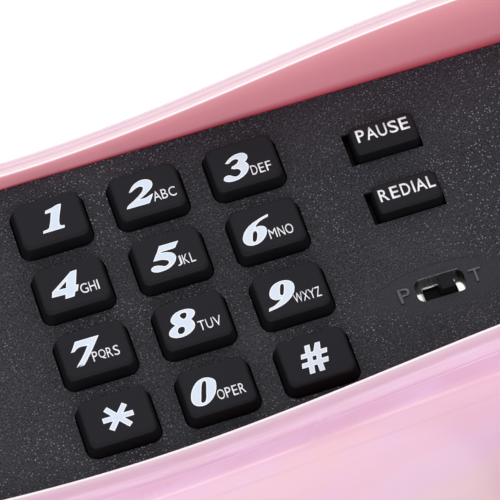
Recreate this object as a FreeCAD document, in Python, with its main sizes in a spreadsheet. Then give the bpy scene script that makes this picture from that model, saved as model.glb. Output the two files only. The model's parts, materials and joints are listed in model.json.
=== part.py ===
import FreeCAD
import Part
import Sketcher
import math
import os

# Compact bedroom telephone: a trough-shaped base with a push-button plate, and its handset lying off the hook.
# Frame: origin at the centre of the base's resting plane, +X along the trough to the right, +Y to the back,
# +Z up.
# All sizes are in millimetres.

SIZES = {
    # trough and rim of the housing
    "troughLength": 206, "troughWidth": 52, "troughCorner": 18,
    "rimThick": 2.2, "rimRound": 0.8, "rimShoulder": 1.7, "rimLow": 4.6, "rimRise": 10.6, "waveStart": 5, "waveEnd": 78,
    "flareSide": 14, "flareCrest": 3, "flareEnd": 9, "flareCurve": 1.35,
    "shellFoot": 2, "shellWall": 2.2, "ledgeThick": 2, "ledgeSide": 2.5, "ledgeEnd": 7,
    "bossRadius": 3.5, "bossInset": 1.5, "coreX": 72, "coreLength": 24, "coreWidth": 2, "coreRise": 5,
    # black plate in the trough
    "plateTop": 30, "plateThick": 2, "plateGap": 0.15,
    # push buttons
    "keyLeft": 0.1, "keyFront": -22.5, "keyPitchX": 15, "keyPitchY": 11.7,
    "keyWidth": 11.0, "keyDepth": 8.7, "keyHeight": 2.4, "keyCorner": 1.6, "keySlope": 20, "keyEdge": 0.6,
    "keyGap": 0.25, "keyTravel": 1.5, "flangeOver": 0.8, "flangeThick": 1.0, "runGap": 0.3,
    "sideLeft": 51.04, "sideFront": 1.37, "sidePitch": 10.85, "sideHoleWidth": 11.25, "sideHoleDepth": 5.8,
    "sideGapLeft": 0.9, "sideSlope": 14, "sideCorner": 1.3,
    # contact mat and keypad board
    "matThick": 0.8, "matEdge": 1.5, "domeSide": 4.6, "domeHeight": 1.2, "domeRoom": 0.5,
    "boardThick": 1.6, "boardLeft": -8, "boardRight": 70, "boardHalf": 22.5, "postRadius": 2.4,
    "postLeft": -5, "postRight": 66.5, "postSide": 18.5,
    # pulse and tone switch
    "slotX": 56.8, "slotY": -11.6, "slotLength": 7.6, "slotWidth": 3.7, "slotCorner": 1.1,
    "switchLength": 11.5, "switchWidth": 6.2, "sheetSteel": 0.5, "windowLength": 4.8, "windowWidth": 2.8,
    "leverWidth": 2, "leverDepth": 2.4, "leverTravel": 1.3, "leverRest": 0.9, "leverRise": 1,
    # cradle switch
    "hookX": 84, "hookRadius": 4, "hookRise": 6, "hookTravel": 3.5, "hookFlange": 6,
    "yokeThick": 2.5, "yokeWidth": 8, "yokeCorner": 3.5, "yokeOver": 5, "guideX": 58, "guideRadius": 2.5,
    "guideTop": 20,
    "springCoil": 1.0, "restX": 84, "restLength": 12, "restWidth": 3, "restCorner": 1.4, "restRise": 3.5,
    "restY": 14,
    # bottom cover and what stands on it
    "coverThick": 2, "coverGap": 0.6, "footInset": 19, "footOut": 5, "footRadius": 6, "footRecess": 0.8,
    "ringerInset": 39, "ringerY": 22, "ringerRadius": 15, "ringerHeight": 5.5, "ringerWall": 1.4,
    "soundSlots": 5, "soundSlotWidth": 1.6, "soundSlotPitch": 4, "soundSlotLength": 18,
    "mainLeft": -45, "mainRight": 50, "mainFront": 8, "mainBack": 38, "mainHeight": 4, "mainInset": 4,
    "chipX": -1, "chipLength": 26, "chipWidth": 8, "chipHeight": 3.6,
    "leafBlockHalf": 5, "leafBlockHeight": 4, "leafHalf": 2, "leafThick": 0.4,
    "ballastLeft": -45, "ballastRight": 50, "ballastFront": -38, "ballastBack": -8, "ballastThick": 3,
    "lineJackInset": 41, "lineJackSink": 0.8, "lineJackWidth": 13.2, "lineJackHeight": 10, "jackDepth": 14,
    "cordJackSink": 2, "cordJackWidth": 11.2, "cordJackHeight": 9, "jackLift": 0.2,
    "linePlugWidth": 9.8, "cordPlugWidth": 7.8, "plugHeight": 6.4, "plugDepth": 11, "latchWidth": 3.4,
    "latchDrop": 1.2,
    # screws
    "screwHead": 2.6, "screwHeadHeight": 1.1, "screwShank": 1.4, "screwFit": 0.05, "coverScrewLength": 12,
    "smallHead": 1.9, "smallHeadHeight": 0.9, "smallShank": 1.0, "smallScrewLength": 4.4,
    "plateScrewInset": 3.5, "plateScrewLength": 3.4,
    # handset
    "handsetY": -82, "handHalf": 99, "capInner": 58, "capHalf": 23, "capCorner": 15, "gripHalf": 15.5,
    "waistStart": 62, "waistEnd": 38, "waistBend": 26, "topMiddle": 52, "topEnd": 36, "topBend": 500,
    "gripUnder": 30, "gripUnderEnd": 24, "gripUnderX": 52, "gripUnderBend": 380, "gripInnerBend": 12,
    "backRound": 8, "faceRound": 3.5, "handWall": 3, "jackSink": 0.5,
    "partCap": 12.4, "partGrip": 35, "partStart": 62, "partEnd": 42, "partBend": 12, "partStep": 0.9,
    "grilleRadius": 15, "grilleFit": 0.12, "grilleSink": 0.9, "grilleThick": 1.7, "seatRadius": 13.2,
    "seatThick": 1.8, "capsuleRadius": 15, "capsuleHeight": 9, "capsuleFit": 0.1, "cupWall": 2.1,
    "cupDepth": 3.6,
    "holeRadius": 1.3, "holeRing": 8, "holeCount": 6, "micRadius": 4.9, "micHeight": 6, "holderHeight": 5.6,
    "handBossX": 66.4, "handBossY": 16.2, "handBossRadius": 2.9, "handScrewLength": 16,
    "handScrewSink": 1.6,
    "weightLength": 60, "weightWidth": 16, "weightThick": 6,
}

Vector = FreeCAD.Vector
ZUP = Vector(0, 0, 1)
STATIONS = 12          # points along each straight side of the housing
CORNER_STATIONS = 3    # points round each corner of it
KEY_COLUMNS, KEY_ROWS = 3, 4
CREASE = 0.2           # faces that meet at a larger angle than this, in radians, make a crease
OVER = 1               # how far a tool runs past the face that it cuts
FAR = 15               # how far a tool runs past the whole piece

os.makedirs("parts", exist_ok=True)
doc = FreeCAD.newDocument("telephone")
sheet = doc.addObject("Spreadsheet::Sheet", "sizes")
for row, (alias, number) in enumerate(SIZES.items(), start=1):
    sheet.set(f"A{row}", str(number))
    sheet.setAlias(f"A{row}", alias)
doc.recompute()


class Size(float):
    # a length that remembers the formula it came from, so that a feature can be tied to the sheet

    def __new__(cls, number, text=None):
        size = super().__new__(cls, number)
        size.text = text or f"({float(number)!r})"
        return size

    def __add__(self, other):
        return Size(float(self) + float(other), f"({self.text} + {formula(other)})")

    def __sub__(self, other):
        return Size(float(self) - float(other), f"({self.text} - {formula(other)})")

    def __mul__(self, other):
        return Size(float(self) * float(other), f"({self.text} * {formula(other)})")

    def __truediv__(self, other):
        return Size(float(self) / float(other), f"({self.text} / {formula(other)})")

    def __radd__(self, other):
        return Size(other) + self

    def __rsub__(self, other):
        return Size(other) - self

    def __rmul__(self, other):
        return Size(other) * self

    def __neg__(self):
        return Size(-float(self), f"(-1 * {self.text})")


def known(value):
    return value if isinstance(value, Size) else Size(value)


def formula(value):
    return known(value).text


def root(size):
    return Size(math.sqrt(size), f"sqrt({size.text})")


class Sizes:
    def __init__(self):
        for name in SIZES:
            setattr(self, name, Size(float(sheet.get(name)), f"sizes.{name}"))


d = Sizes()
nodes = []

# heights that several pieces share
plateUnder = d.plateTop - d.plateThick
ledgeUnder = plateUnder - d.ledgeThick
coverTop = d.shellFoot + d.coverThick
keyReach = d.plateThick + d.runGap + d.flangeThick
boardTop = d.plateTop - keyReach - d.keyTravel - d.domeRoom - d.domeHeight - d.matThick
leafTop = coverTop + d.mainHeight + d.boardThick + d.leafThick
yokeBottom = leafTop + d.hookTravel + d.runGap
yokeTop = yokeBottom + d.yokeThick
seatBottom = d.grilleSink + d.grilleThick
seatTop = seatBottom + d.seatThick
capX = (d.handHalf + d.capInner) / 2

# places that follow the housing
footX, footY = d.troughLength / 2 - d.footInset, d.troughWidth / 2 + d.footOut
ringerX = d.ringerInset - d.troughLength / 2
lineJackX = d.troughLength / 2 - d.lineJackInset
lineJackBack = d.troughWidth / 2 + d.rimThick + d.flareSide - d.lineJackSink
cordJackEnd = d.troughLength / 2 + d.rimThick + d.flareEnd - d.cordJackSink


def tie(thing, name, value):
    # sets a size of a feature, and its formula where it comes from the sheet
    setattr(thing, name, float(value))
    if "sizes." in formula(value):
        thing.setExpression(name, formula(value))


def put(thing, x=0, y=0, z=0):
    # ties the place of an object's own origin
    thing.Placement = FreeCAD.Placement(Vector(x, y, z), FreeCAD.Rotation())
    for axis, value in zip("xyz", (x, y, z)):
        if "sizes." in formula(value):
            thing.setExpression(f"Placement.Base.{axis}", formula(value))
    return thing


def node(thing, label):
    thing.Label = label
    nodes.append(thing)
    return thing


# Part primitives tied to the sheet

def box(name, x0, x1, y0, y1, z0, z1):
    block = doc.addObject("Part::Box", name)
    tie(block, "Length", known(x1) - x0)
    tie(block, "Width", known(y1) - y0)
    tie(block, "Height", known(z1) - z0)
    return put(block, x0, y0, z0)


def centred_box(name, x, halfX, y, halfY, z0, z1):
    return box(name, x - halfX, x + halfX, y - halfY, y + halfY, z0, z1)


def cylinder(name, radius, z0, z1, x=0, y=0):
    rod = doc.addObject("Part::Cylinder", name)
    tie(rod, "Radius", radius)
    tie(rod, "Height", known(z1) - z0)
    return put(rod, x, y, z0)


def fuse(name, pieces):
    joined = doc.addObject("Part::MultiFuse", name)
    joined.Shapes = pieces
    return joined


def cut(name, base, tools):
    tool = tools[0] if len(tools) == 1 else fuse(name + "Tools", tools)
    rest = doc.addObject("Part::Cut", name)
    rest.Base, rest.Tool = base, tool
    return rest


def group(label, pieces):
    together = doc.addObject("Part::Compound", label)
    together.Links = pieces
    return node(together, label)


def form(name, shape):
    # a shape made by this script's own code from the sheet's sizes
    feature = doc.addObject("Part::Feature", name)
    feature.Shape = shape
    feature.Placement = FreeCAD.Placement()
    return feature


# PartDesign bodies with sketches on their own origin planes

def body(label):
    return node(doc.addObject("PartDesign::Body", label), label)


def sketch_on(owner, name, z=0):
    sketch = owner.newObject("Sketcher::SketchObject", name)
    plane = next(f for f in owner.Origin.OriginFeatures if f.Role == "XY_Plane")
    sketch.AttachmentSupport = [(plane, "")]
    sketch.MapMode = "FlatFace"
    sketch.AttachmentOffset = FreeCAD.Placement(Vector(0, 0, z), FreeCAD.Rotation())
    if "sizes." in formula(z):
        sketch.setExpression("AttachmentOffset.Base.z", formula(z))
    return sketch


def measure(sketch, kind, *where, value):
    index = sketch.addConstraint(Sketcher.Constraint(kind, *where, float(value)))
    if "sizes." in formula(value):
        sketch.setExpression(f"Constraints[{index}]", formula(value))


def disc(x, y, radius):
    def draw(sketch):
        g = sketch.addGeometry(Part.Circle(Vector(x, y, 0), ZUP, radius))
        measure(sketch, "Radius", g, value=radius)
        measure(sketch, "DistanceX", -1, 1, g, 3, value=x)
        measure(sketch, "DistanceY", -1, 1, g, 3, value=y)
    return draw


def rectangle(x0, x1, y0, y1):
    def draw(sketch):
        corners = [Vector(x0, y0, 0), Vector(x1, y0, 0), Vector(x1, y1, 0), Vector(x0, y1, 0)]
        g = [sketch.addGeometry(Part.LineSegment(corners[k], corners[(k + 1) % 4])) for k in range(4)]
        for k in range(4):
            sketch.addConstraint(Sketcher.Constraint("Coincident", g[k], 2, g[(k + 1) % 4], 1))
            sketch.addConstraint(Sketcher.Constraint(("Horizontal", "Vertical")[k % 2], g[k]))
        measure(sketch, "DistanceX", -1, 1, g[0], 1, value=x0)
        measure(sketch, "DistanceX", -1, 1, g[1], 1, value=x1)
        measure(sketch, "DistanceY", -1, 1, g[0], 1, value=y0)
        measure(sketch, "DistanceY", -1, 1, g[2], 1, value=y1)
    return draw


def rounded(x0, x1, y0, y1, radius):
    def draw(sketch):
        xa, xb, ya, yb, r = (float(v) for v in (x0, x1, y0, y1, radius))
        starts = [Vector(xa + r, ya, 0), Vector(xb, ya + r, 0), Vector(xb - r, yb, 0),
                  Vector(xa, yb - r, 0)]
        ends = [Vector(xb - r, ya, 0), Vector(xb, yb - r, 0), Vector(xa + r, yb, 0), Vector(xa, ya + r, 0)]
        centres = [Vector(xb - r, ya + r, 0), Vector(xb - r, yb - r, 0), Vector(xa + r, yb - r, 0),
                   Vector(xa + r, ya + r, 0)]
        lines = [sketch.addGeometry(Part.LineSegment(starts[k], ends[k])) for k in range(4)]
        arcs = [sketch.addGeometry(Part.ArcOfCircle(Part.Circle(centres[k], ZUP, r), (k - 1) * math.pi / 2,
                                                    k * math.pi / 2)) for k in range(4)]
        for k in range(4):
            sketch.addConstraint(Sketcher.Constraint("Tangent", lines[k], 2, arcs[k], 1))
            sketch.addConstraint(Sketcher.Constraint("Tangent", arcs[k], 2, lines[(k + 1) % 4], 1))
            sketch.addConstraint(Sketcher.Constraint(("Horizontal", "Vertical")[k % 2], lines[k]))
        for k in range(3):
            sketch.addConstraint(Sketcher.Constraint("Equal", arcs[0], arcs[k + 1]))
        measure(sketch, "Radius", arcs[0], value=radius)
        measure(sketch, "DistanceY", -1, 1, lines[0], 1, value=y0)
        measure(sketch, "DistanceX", -1, 1, lines[1], 1, value=x1)
        measure(sketch, "DistanceY", -1, 1, lines[2], 1, value=y1)
        measure(sketch, "DistanceX", -1, 1, lines[3], 1, value=x0)
    return draw


def pad(owner, name, outlines, z0, z1, slope=None):
    sketch = sketch_on(owner, name + "Sketch", z0)
    for outline in outlines:
        outline(sketch)
    feature = owner.newObject("PartDesign::Pad", name)
    feature.Profile = sketch
    tie(feature, "Length", known(z1) - z0)
    if slope is not None:
        tie(feature, "TaperAngle", -slope)
    owner.Tip = feature
    return feature


def pocket(owner, name, outlines, top, bottom):
    sketch = sketch_on(owner, name + "Sketch", top)
    for outline in outlines:
        outline(sketch)
    feature = owner.newObject("PartDesign::Pocket", name)
    feature.Profile = sketch
    tie(feature, "Length", known(top) - bottom)
    owner.Tip = feature
    return feature


def bevel(owner, name, width, chosen):
    # chamfers the edges of the tip that the test picks
    doc.recompute()
    base = owner.Tip
    edges = [f"Edge{k}" for k, edge in enumerate(base.Shape.Edges, start=1) if chosen(edge.BoundBox)]
    feature = owner.newObject("PartDesign::Chamfer", name)
    feature.Base = (base, edges)
    tie(feature, "Size", width)
    owner.Tip = feature
    return feature


def at_height(z):
    return lambda bounds: abs(bounds.ZMin - z) < 1e-3 and abs(bounds.ZMax - z) < 1e-3


# Housing

def wave(x):
    # how far along the rim's rise from waist to crest a place is, 0 to 1
    way = (abs(x) - d.waveStart) / (d.waveEnd - d.waveStart)
    return (1 - math.cos(math.pi * min(max(float(way), 0.0), 1.0))) / 2


def rim_height(x):
    return float(d.plateTop) + float(d.rimLow) + float(d.rimRise) * wave(x)


def trough_stations():
    # points round the trough's plan with the outward direction at each
    r = float(d.troughCorner)
    x, y = float(d.troughLength) / 2 - r, float(d.troughWidth) / 2 - r
    stations = []
    for quarter, (sx, sy) in enumerate(((1, 1), (-1, 1), (-1, -1), (1, -1))):
        for k in range(CORNER_STATIONS + 1):
            turn = (quarter + k / CORNER_STATIONS) * math.pi / 2
            nx, ny = math.cos(turn), math.sin(turn)
            stations.append((sx * x + r * nx, sy * y + r * ny, nx, ny))
        if quarter % 2 == 0:
            for k in range(1, STATIONS):
                stations.append((sx * x * (1 - 2 * k / STATIONS), sy * (y + r), 0, sy))
        else:
            stations.append((sx * (x + r), 0, sx, 0))
    return stations


def housing_ring(inset=0.0, depth=None, height=None):
    # closed curve round the housing: a share of the way down from the rim to the foot, or at one height
    foot, side, end = float(d.shellFoot), float(d.flareSide), float(d.flareEnd)
    points = []
    for x, y, nx, ny in trough_stations():
        fall = rim_height(x) - foot
        share = min(max((rim_height(x) - height) / fall, 0.0), 1.0) if depth is None else depth
        flare = end * nx * nx + (side + float(d.flareCrest) * wave(x)) * ny * ny
        out = float(d.rimThick) + flare * (1 - (1 - share) ** float(d.flareCurve)) - inset
        z = rim_height(x) - share * fall if height is None else height
        points.append(Vector(x + nx * out, y + ny * out, z))
    curve = Part.BSplineCurve()
    curve.interpolate(Points=points, PeriodicFlag=True)
    return Part.Wire([curve.toShape()])


def trough_block(grow, z0, z1):
    # upright block of the trough's plan, grown outwards
    x, y = float(d.troughLength) / 2 + grow, float(d.troughWidth) / 2 + grow
    r = float(d.troughCorner) + grow
    return rounded_prism([(x, y), (-x, y), (-x, -y), (x, -y)], [r] * 4, "XY", z0, z1)


def rounded_prism(corners, bends, plane, low, high, shrink=0.0):
    # extrusion of a polygon with tangent arcs at its corners, or none where the bend is 0, drawn in by a wall
    count, edges, joints = len(corners), [], []
    turning = sum(corners[k - 1][0] * corners[k][1] - corners[k][0] * corners[k - 1][1] for k in range(count))
    for k in range(count):
        here = Vector(*corners[k], 0)
        back = (Vector(*corners[k - 1], 0) - here).normalize()
        onward = (Vector(*corners[(k + 1) % count], 0) - here).normalize()
        half = back.getAngle(onward) / 2
        outward = 1 if onward.cross(back).z * turning > 0 else -1
        inward = (back + onward).normalize()
        here += inward * (outward * shrink / math.sin(half))
        bend = bends[k] - outward * shrink if bends[k] else 0
        centre = here + inward * (bend / math.sin(half))
        reach = bend / math.tan(half)
        joints.append((here + back * reach, centre - inward * bend, here + onward * reach))
    for k, (start, middle, end) in enumerate(joints):
        if bends[k]:
            edges.append(Part.Arc(start, middle, end).toShape())
        edges.append(Part.makeLine(end, joints[(k + 1) % count][0]))
    face = Part.Face(Part.Wire(edges))
    if plane == "XZ":
        face.rotate(Vector(), Vector(1, 0, 0), 90)
        face.translate(Vector(0, high, 0))
        return face.extrude(Vector(0, low - high, 0))
    face.translate(Vector(0, 0, low))
    return face.extrude(Vector(0, 0, high - low))


def wave_tool(top):
    # everything above the rim's wavy edge
    reach = float(d.troughLength) / 2 + float(d.flareEnd) + float(d.troughCorner)
    width = float(d.troughWidth) / 2 + float(d.flareSide) + float(d.troughCorner)
    count = 3 * STATIONS
    xs = [reach * (2 * k / count - 1) for k in range(count + 1)]
    curve = Part.BSplineCurve()
    curve.interpolate([Vector(x, -width, rim_height(x)) for x in xs])
    left, right = Vector(-reach, -width, top), Vector(reach, -width, top)
    side = Part.Wire([curve.toShape(), Part.makeLine(Vector(reach, -width, rim_height(reach)), right),
                      Part.makeLine(right, left),
                      Part.makeLine(left, Vector(-reach, -width, rim_height(reach)))])
    return Part.Face(side).extrude(Vector(0, 2 * width, 0))


def past_trough(edge):
    # how far outside the trough's wall the middle of an edge lies
    middle = edge.valueAt((edge.FirstParameter + edge.LastParameter) / 2)
    r = float(d.troughCorner)
    x = max(abs(middle.x) - float(d.troughLength) / 2 + r, 0)
    y = max(abs(middle.y) - float(d.troughWidth) / 2 + r, 0)
    return math.hypot(x, y) - r


def housing_form():
    above = rim_height(float(d.waveEnd)) + FAR
    rings = [housing_ring(depth=share) for share in (1.0, 0.75, 0.5, 0.25,
                                                     0.0)] + [housing_ring(height=above)]
    shell = Part.makeLoft(rings, True, False).cut(wave_tool(above + OVER))
    shell = shell.cut(trough_block(0, float(plateUnder), above + OVER))
    for radius, outer in ((float(d.rimShoulder), True), (float(d.rimRound), False)):
        lip = [e for e in shell.Edges if e.BoundBox.ZMin > float(d.plateTop) + OVER
               and (past_trough(e) > float(d.rimThick) / 2) == outer]
        shell = shell.makeFillet(radius, lip)
    foot, ceiling, wall = float(d.shellFoot), float(ledgeUnder), float(d.shellWall)
    heights = [foot - OVER, foot] + [foot + (ceiling - foot) * k / 3 for k in (1, 2, 3)]
    hollow = Part.makeLoft([housing_ring(wall, height=z) for z in heights], True, False)
    x, y = float(d.troughLength) / 2 - float(d.ledgeEnd), float(d.troughWidth) / 2 - float(d.ledgeSide)
    r = float(d.troughCorner) - float(d.ledgeEnd)
    window = rounded_prism([(x, y), (-x, y), (-x, -y), (x, -y)], [r] * 4, "XY", ceiling - OVER, above)
    return shell.cut(hollow).cut(window)


def boss_places():
    # the four screw bosses stand in the trough's corners, under the ledge
    r = d.troughCorner - d.bossInset
    x = d.troughLength / 2 - d.troughCorner + r * math.sqrt(0.5)
    y = d.troughWidth / 2 - d.troughCorner + r * math.sqrt(0.5)
    return [(sx * x, sy * y) for sx in (-1, 1) for sy in (-1, 1)]


def jack_hole(name, across, halfWidth, z0, z1, end):
    # box through the housing wall for a jack, at the back or at the left end
    if end:
        return box(name, -cordJackEnd - FAR, d.jackDepth - cordJackEnd, across - halfWidth,
                   across + halfWidth, z0, z1)
    return box(name, across - halfWidth, across + halfWidth, lineJackBack - d.jackDepth, lineJackBack + FAR,
               z0, z1)


def base_shell():
    form_piece = form("housingForm", housing_form())
    bosses = [cylinder(f"boss{k}", d.bossRadius, coverTop, ledgeUnder + OVER, x, y)
              for k, (x, y) in enumerate(boss_places())]
    bores = [cylinder(f"bossBore{k}", d.screwShank + d.screwFit, coverTop - OVER,
                      coverTop + d.coverScrewLength, x, y)
             for k, (x, y) in enumerate(boss_places())]
    screws = [cylinder(f"ledgeBore{k}", d.smallShank + d.screwFit, ledgeUnder - OVER, plateUnder + OVER, x,
                       y)
              for k, (x, y) in enumerate(plate_screw_places())]
    low = coverTop + d.jackLift - d.plateGap
    line = jack_hole("lineJackHole", lineJackX, d.lineJackWidth / 2 + d.plateGap, low,
                     coverTop + d.jackLift + d.lineJackHeight + d.plateGap, False)
    cord = jack_hole("cordJackHole", Size(0), d.cordJackWidth / 2 + d.plateGap, low,
                     coverTop + d.jackLift + d.cordJackHeight + d.plateGap, True)
    inner = d.troughWidth / 2 + d.shellWall
    cores = [box(f"core{k}", sx * d.coreX - d.coreLength / 2, sx * d.coreX + d.coreLength / 2, y0,
                 y0 + d.coreWidth,
                 ledgeUnder - OVER, d.plateTop + d.coreRise)
             for k, (sx,
                     y0) in enumerate((sx, y0) for sx in (-1, 1) for y0 in (inner, -inner - d.coreWidth))]
    whole = fuse("housingWithBosses", [form_piece] + bosses)
    node(cut("baseShell", whole, bores + screws + cores + [line, cord]), "base_shell")


# Faceplate, its keys and the board under them

def key_places():
    x, y = d.keyLeft + d.keyWidth / 2, d.keyFront + d.keyDepth / 2
    return [(x + column * d.keyPitchX, y + line * d.keyPitchY)
            for line in reversed(range(KEY_ROWS)) for column in range(KEY_COLUMNS)]


def side_key_sizes():
    width = d.sideHoleWidth - d.sideGapLeft - d.keyGap
    return width, d.sideHoleDepth - d.keyGap * 2


def side_key_places():
    width, depth = side_key_sizes()
    x = d.sideLeft + d.sideGapLeft + width / 2
    return [(x, d.sideFront + d.sidePitch * k + d.sideHoleDepth / 2) for k in (1, 0)]


def post_places():
    return [(x, sy * d.postSide) for x in (d.postLeft, d.postRight) for sy in (-1, 1)]


def plate_screw_places():
    return [(sx * (d.troughLength / 2 - d.plateScrewInset), Size(0)) for sx in (-1, 1)]


def columns(owner, name, feature, count, pitch):
    # repeats a feature to the right
    pattern = owner.newObject("PartDesign::LinearPattern", name)
    pattern.Originals = [feature]
    pattern.Direction = (feature.Profile[0], ["H_Axis"])
    pattern.Mode = "Spacing"
    pattern.Occurrences = count
    tie(pattern, "Offset", pitch)
    owner.Tip = pattern
    return pattern


def faceplate():
    plate = body("faceplate")
    put(plate, 0, 0, d.plateTop)
    x, y = d.troughLength / 2 - d.plateGap, d.troughWidth / 2 - d.plateGap
    pad(plate, "plateSlab", [rounded(-x, x, -y, y, d.troughCorner - d.plateGap)], -d.plateThick, Size(0))
    rests = [rounded(sx * d.restX - d.restLength / 2, sx * d.restX + d.restLength / 2,
                     sy * d.restY - d.restWidth / 2, sy * d.restY + d.restWidth / 2, d.restCorner)
             for sx in (-1, 1) for sy in (-1, 1)]
    pad(plate, "cradleRests", rests, Size(0), d.restRise)
    posts = [disc(px, py, d.postRadius) for px, py in post_places()]
    pad(plate, "boardPosts", posts, boardTop - d.plateTop, -d.plateThick)
    fronts = [d.keyFront + line * d.keyPitchY for line in range(KEY_ROWS)]
    column = [rounded(d.keyLeft - d.keyGap, d.keyLeft + d.keyWidth + d.keyGap, front - d.keyGap,
                      front + d.keyDepth + d.keyGap, d.keyCorner + d.keyGap) for front in fronts]
    holes = pocket(plate, "keyColumn", column, Size(OVER), -d.plateThick - OVER)
    doc.recompute()
    columns(plate, "keyHoles", holes, KEY_COLUMNS, d.keyPitchX)
    sides = [rectangle(d.sideLeft, d.sideLeft + d.sideHoleWidth, d.sideFront + k * d.sidePitch,
                       d.sideFront + k * d.sidePitch + d.sideHoleDepth) for k in range(2)]
    pocket(plate, "sideHoles", sides, Size(OVER), -d.plateThick - OVER)
    slot = rounded(d.slotX - d.slotLength / 2, d.slotX + d.slotLength / 2, d.slotY - d.slotWidth / 2,
                   d.slotY + d.slotWidth / 2, d.slotCorner)
    hooks = [disc(sx * d.hookX, Size(0), d.hookRadius + d.runGap) for sx in (-1, 1)]
    pocket(plate, "slotAndHooks", [slot] + hooks, Size(OVER), -d.plateThick - OVER)
    bores = [disc(px, py, d.smallShank + d.screwFit) for px, py in post_places()]
    pocket(plate, "postBores", bores, -d.plateThick - OVER, boardTop - d.plateTop - OVER)
    blind = [disc(px, py, d.smallShank + d.screwFit) for px, py in plate_screw_places()]
    pocket(plate, "ledgeScrewBores", blind, -d.plateThick + d.plateScrewLength - d.ledgeThick + d.screwFit,
           -d.plateThick - OVER)


def key(label, x, y, width, depth, corner, slope):
    # a soft key: straight stem in the plate, tapered cap above it and a flange below
    piece = body(label)
    put(piece, x, y, d.plateTop)
    halfX, halfY = width / 2, depth / 2
    over = d.flangeOver
    pad(piece, label + "Stem", [rounded(-halfX, halfX, -halfY, halfY, corner)], -d.plateThick - d.runGap,
        Size(0))
    pad(piece, label + "Cap", [rounded(-halfX, halfX, -halfY, halfY, corner)], Size(0), d.keyHeight, slope)
    bevel(piece, label + "Edge", d.keyEdge, at_height(float(d.keyHeight)))
    pad(piece, label + "Flange", [rectangle(-halfX - over, halfX + over, -halfY - over, halfY + over)],
        -keyReach,
        -d.plateThick - d.runGap)


def keys():
    names = ["key_1", "key_2", "key_3", "key_4", "key_5", "key_6", "key_7", "key_8", "key_9", "key_star",
             "key_0",
             "key_pound"]
    for name, (x, y) in zip(names, key_places()):
        key(name, x, y, d.keyWidth, d.keyDepth, d.keyCorner, d.keySlope)
    width, depth = side_key_sizes()
    for name, (x, y) in zip(["key_pause", "key_redial"], side_key_places()):
        key(name, x, y, width, depth, d.sideCorner, d.sideSlope)


def keypad_mat():
    mat = body("keypad_mat")
    put(mat, 0, 0, boardTop)
    places = key_places() + side_key_places()
    right = d.sideLeft + d.sideHoleWidth + d.matEdge
    front, back = d.keyFront, d.keyFront + (KEY_ROWS - 1) * d.keyPitchY + d.keyDepth
    pad(mat, "matSheet", [rectangle(d.keyLeft, right, front, back)], Size(0), d.matThick)
    cutEdge = d.sideLeft - d.matEdge
    pocket(mat, "switchCorner", [rectangle(cutEdge, right + OVER, front - OVER, d.sideFront - d.matEdge)],
           d.matThick + OVER,
           Size(-OVER))
    half = d.domeSide / 2
    domes = [rectangle(px - half, px + half, py - half, py + half) for px, py in places]
    pad(mat, "contacts", domes, d.matThick, d.matThick + d.domeHeight)


def keypad_board():
    board = body("keypad_board")
    put(board, 0, 0, boardTop)
    pad(board, "keypadSlab", [rectangle(d.boardLeft, d.boardRight, -d.boardHalf, d.boardHalf)],
        -d.boardThick,
        Size(0))
    pocket(board, "keypadBores", [disc(px, py, d.smallShank + d.screwFit) for px, py in post_places()],
           Size(OVER),
           -d.boardThick - OVER)


def tone_switch():
    halfX, halfY, steel = d.switchLength / 2, d.switchWidth / 2, d.sheetSteel
    can = centred_box("switchCan", d.slotX, halfX, d.slotY, halfY, boardTop, plateUnder)
    inside = centred_box("switchInside", d.slotX, halfX - steel, d.slotY, halfY - steel, boardTop - OVER,
                         plateUnder - steel)
    window = centred_box("switchWindow", d.slotX, d.windowLength / 2, d.slotY, d.windowWidth / 2,
                         plateUnder - steel - OVER, plateUnder + OVER)
    node(cut("switchFrame", can, [inside, window]), "switch_frame")
    sliderTop = plateUnder - steel - d.runGap
    leverX = d.slotX + d.leverRest
    slider = centred_box("slider", leverX, halfX - steel - d.runGap - d.leverTravel, d.slotY,
                         halfY - steel - d.runGap,
                         boardTop + d.runGap, sliderTop)
    stem = centred_box("stem", leverX, d.leverWidth / 2, d.slotY, d.leverDepth / 2, sliderTop,
                       d.plateTop + d.leverRise)
    node(fuse("lever", [slider, stem]), "tone_switch_lever")


# Cradle switch

def cradle_switch():
    yoke = body("hook_yoke")
    put(yoke, 0, 0, yokeBottom)
    reach = d.hookX + d.yokeOver
    pad(yoke, "yokeBar", [rounded(-reach, reach, -d.yokeWidth / 2, d.yokeWidth / 2, d.yokeCorner)], Size(0),
        d.yokeThick)
    pocket(yoke, "guideHoles", [disc(sx * d.guideX, Size(0), d.guideRadius + d.runGap) for sx in (-1, 1)],
           d.yokeThick + OVER, Size(-OVER))
    for side, label in ((-1, "hook_plunger_left"), (1, "hook_plunger_right")):
        plunger = body(label)
        put(plunger, side * d.hookX, 0, yokeTop)
        top = d.plateTop + d.hookRise - yokeTop
        stop = plateUnder - d.runGap - yokeTop
        pad(plunger, label + "Rod", [disc(Size(0), Size(0), d.hookRadius)], Size(0), top)
        bevel(plunger, label + "Crown", d.hookRadius / 3, at_height(float(top)))
        pad(plunger, label + "Stop", [disc(Size(0), Size(0), d.hookFlange)], stop - d.flangeThick, stop)
    springs = []
    for k, side in enumerate((-1, 1)):
        inner = d.guideRadius + d.runGap
        coil = cylinder(f"coil{k}", inner + d.springCoil, coverTop, yokeBottom, side * d.guideX)
        hole = cylinder(f"coilHole{k}", inner, coverTop - OVER, yokeBottom + OVER, side * d.guideX)
        springs.append(cut(f"hookSpring{k}", coil, [hole]))
    group("hook_springs", springs)


# Bottom cover and the inner pieces on it

def foot_places():
    return [(sx * footX, sy * footY) for sx in (-1, 1) for sy in (-1, 1)]


def main_post_places():
    return [(x, y) for x in (d.mainLeft + d.mainInset, d.mainRight - d.mainInset)
            for y in (d.mainFront + d.mainInset, d.mainBack - d.mainInset)]


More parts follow.
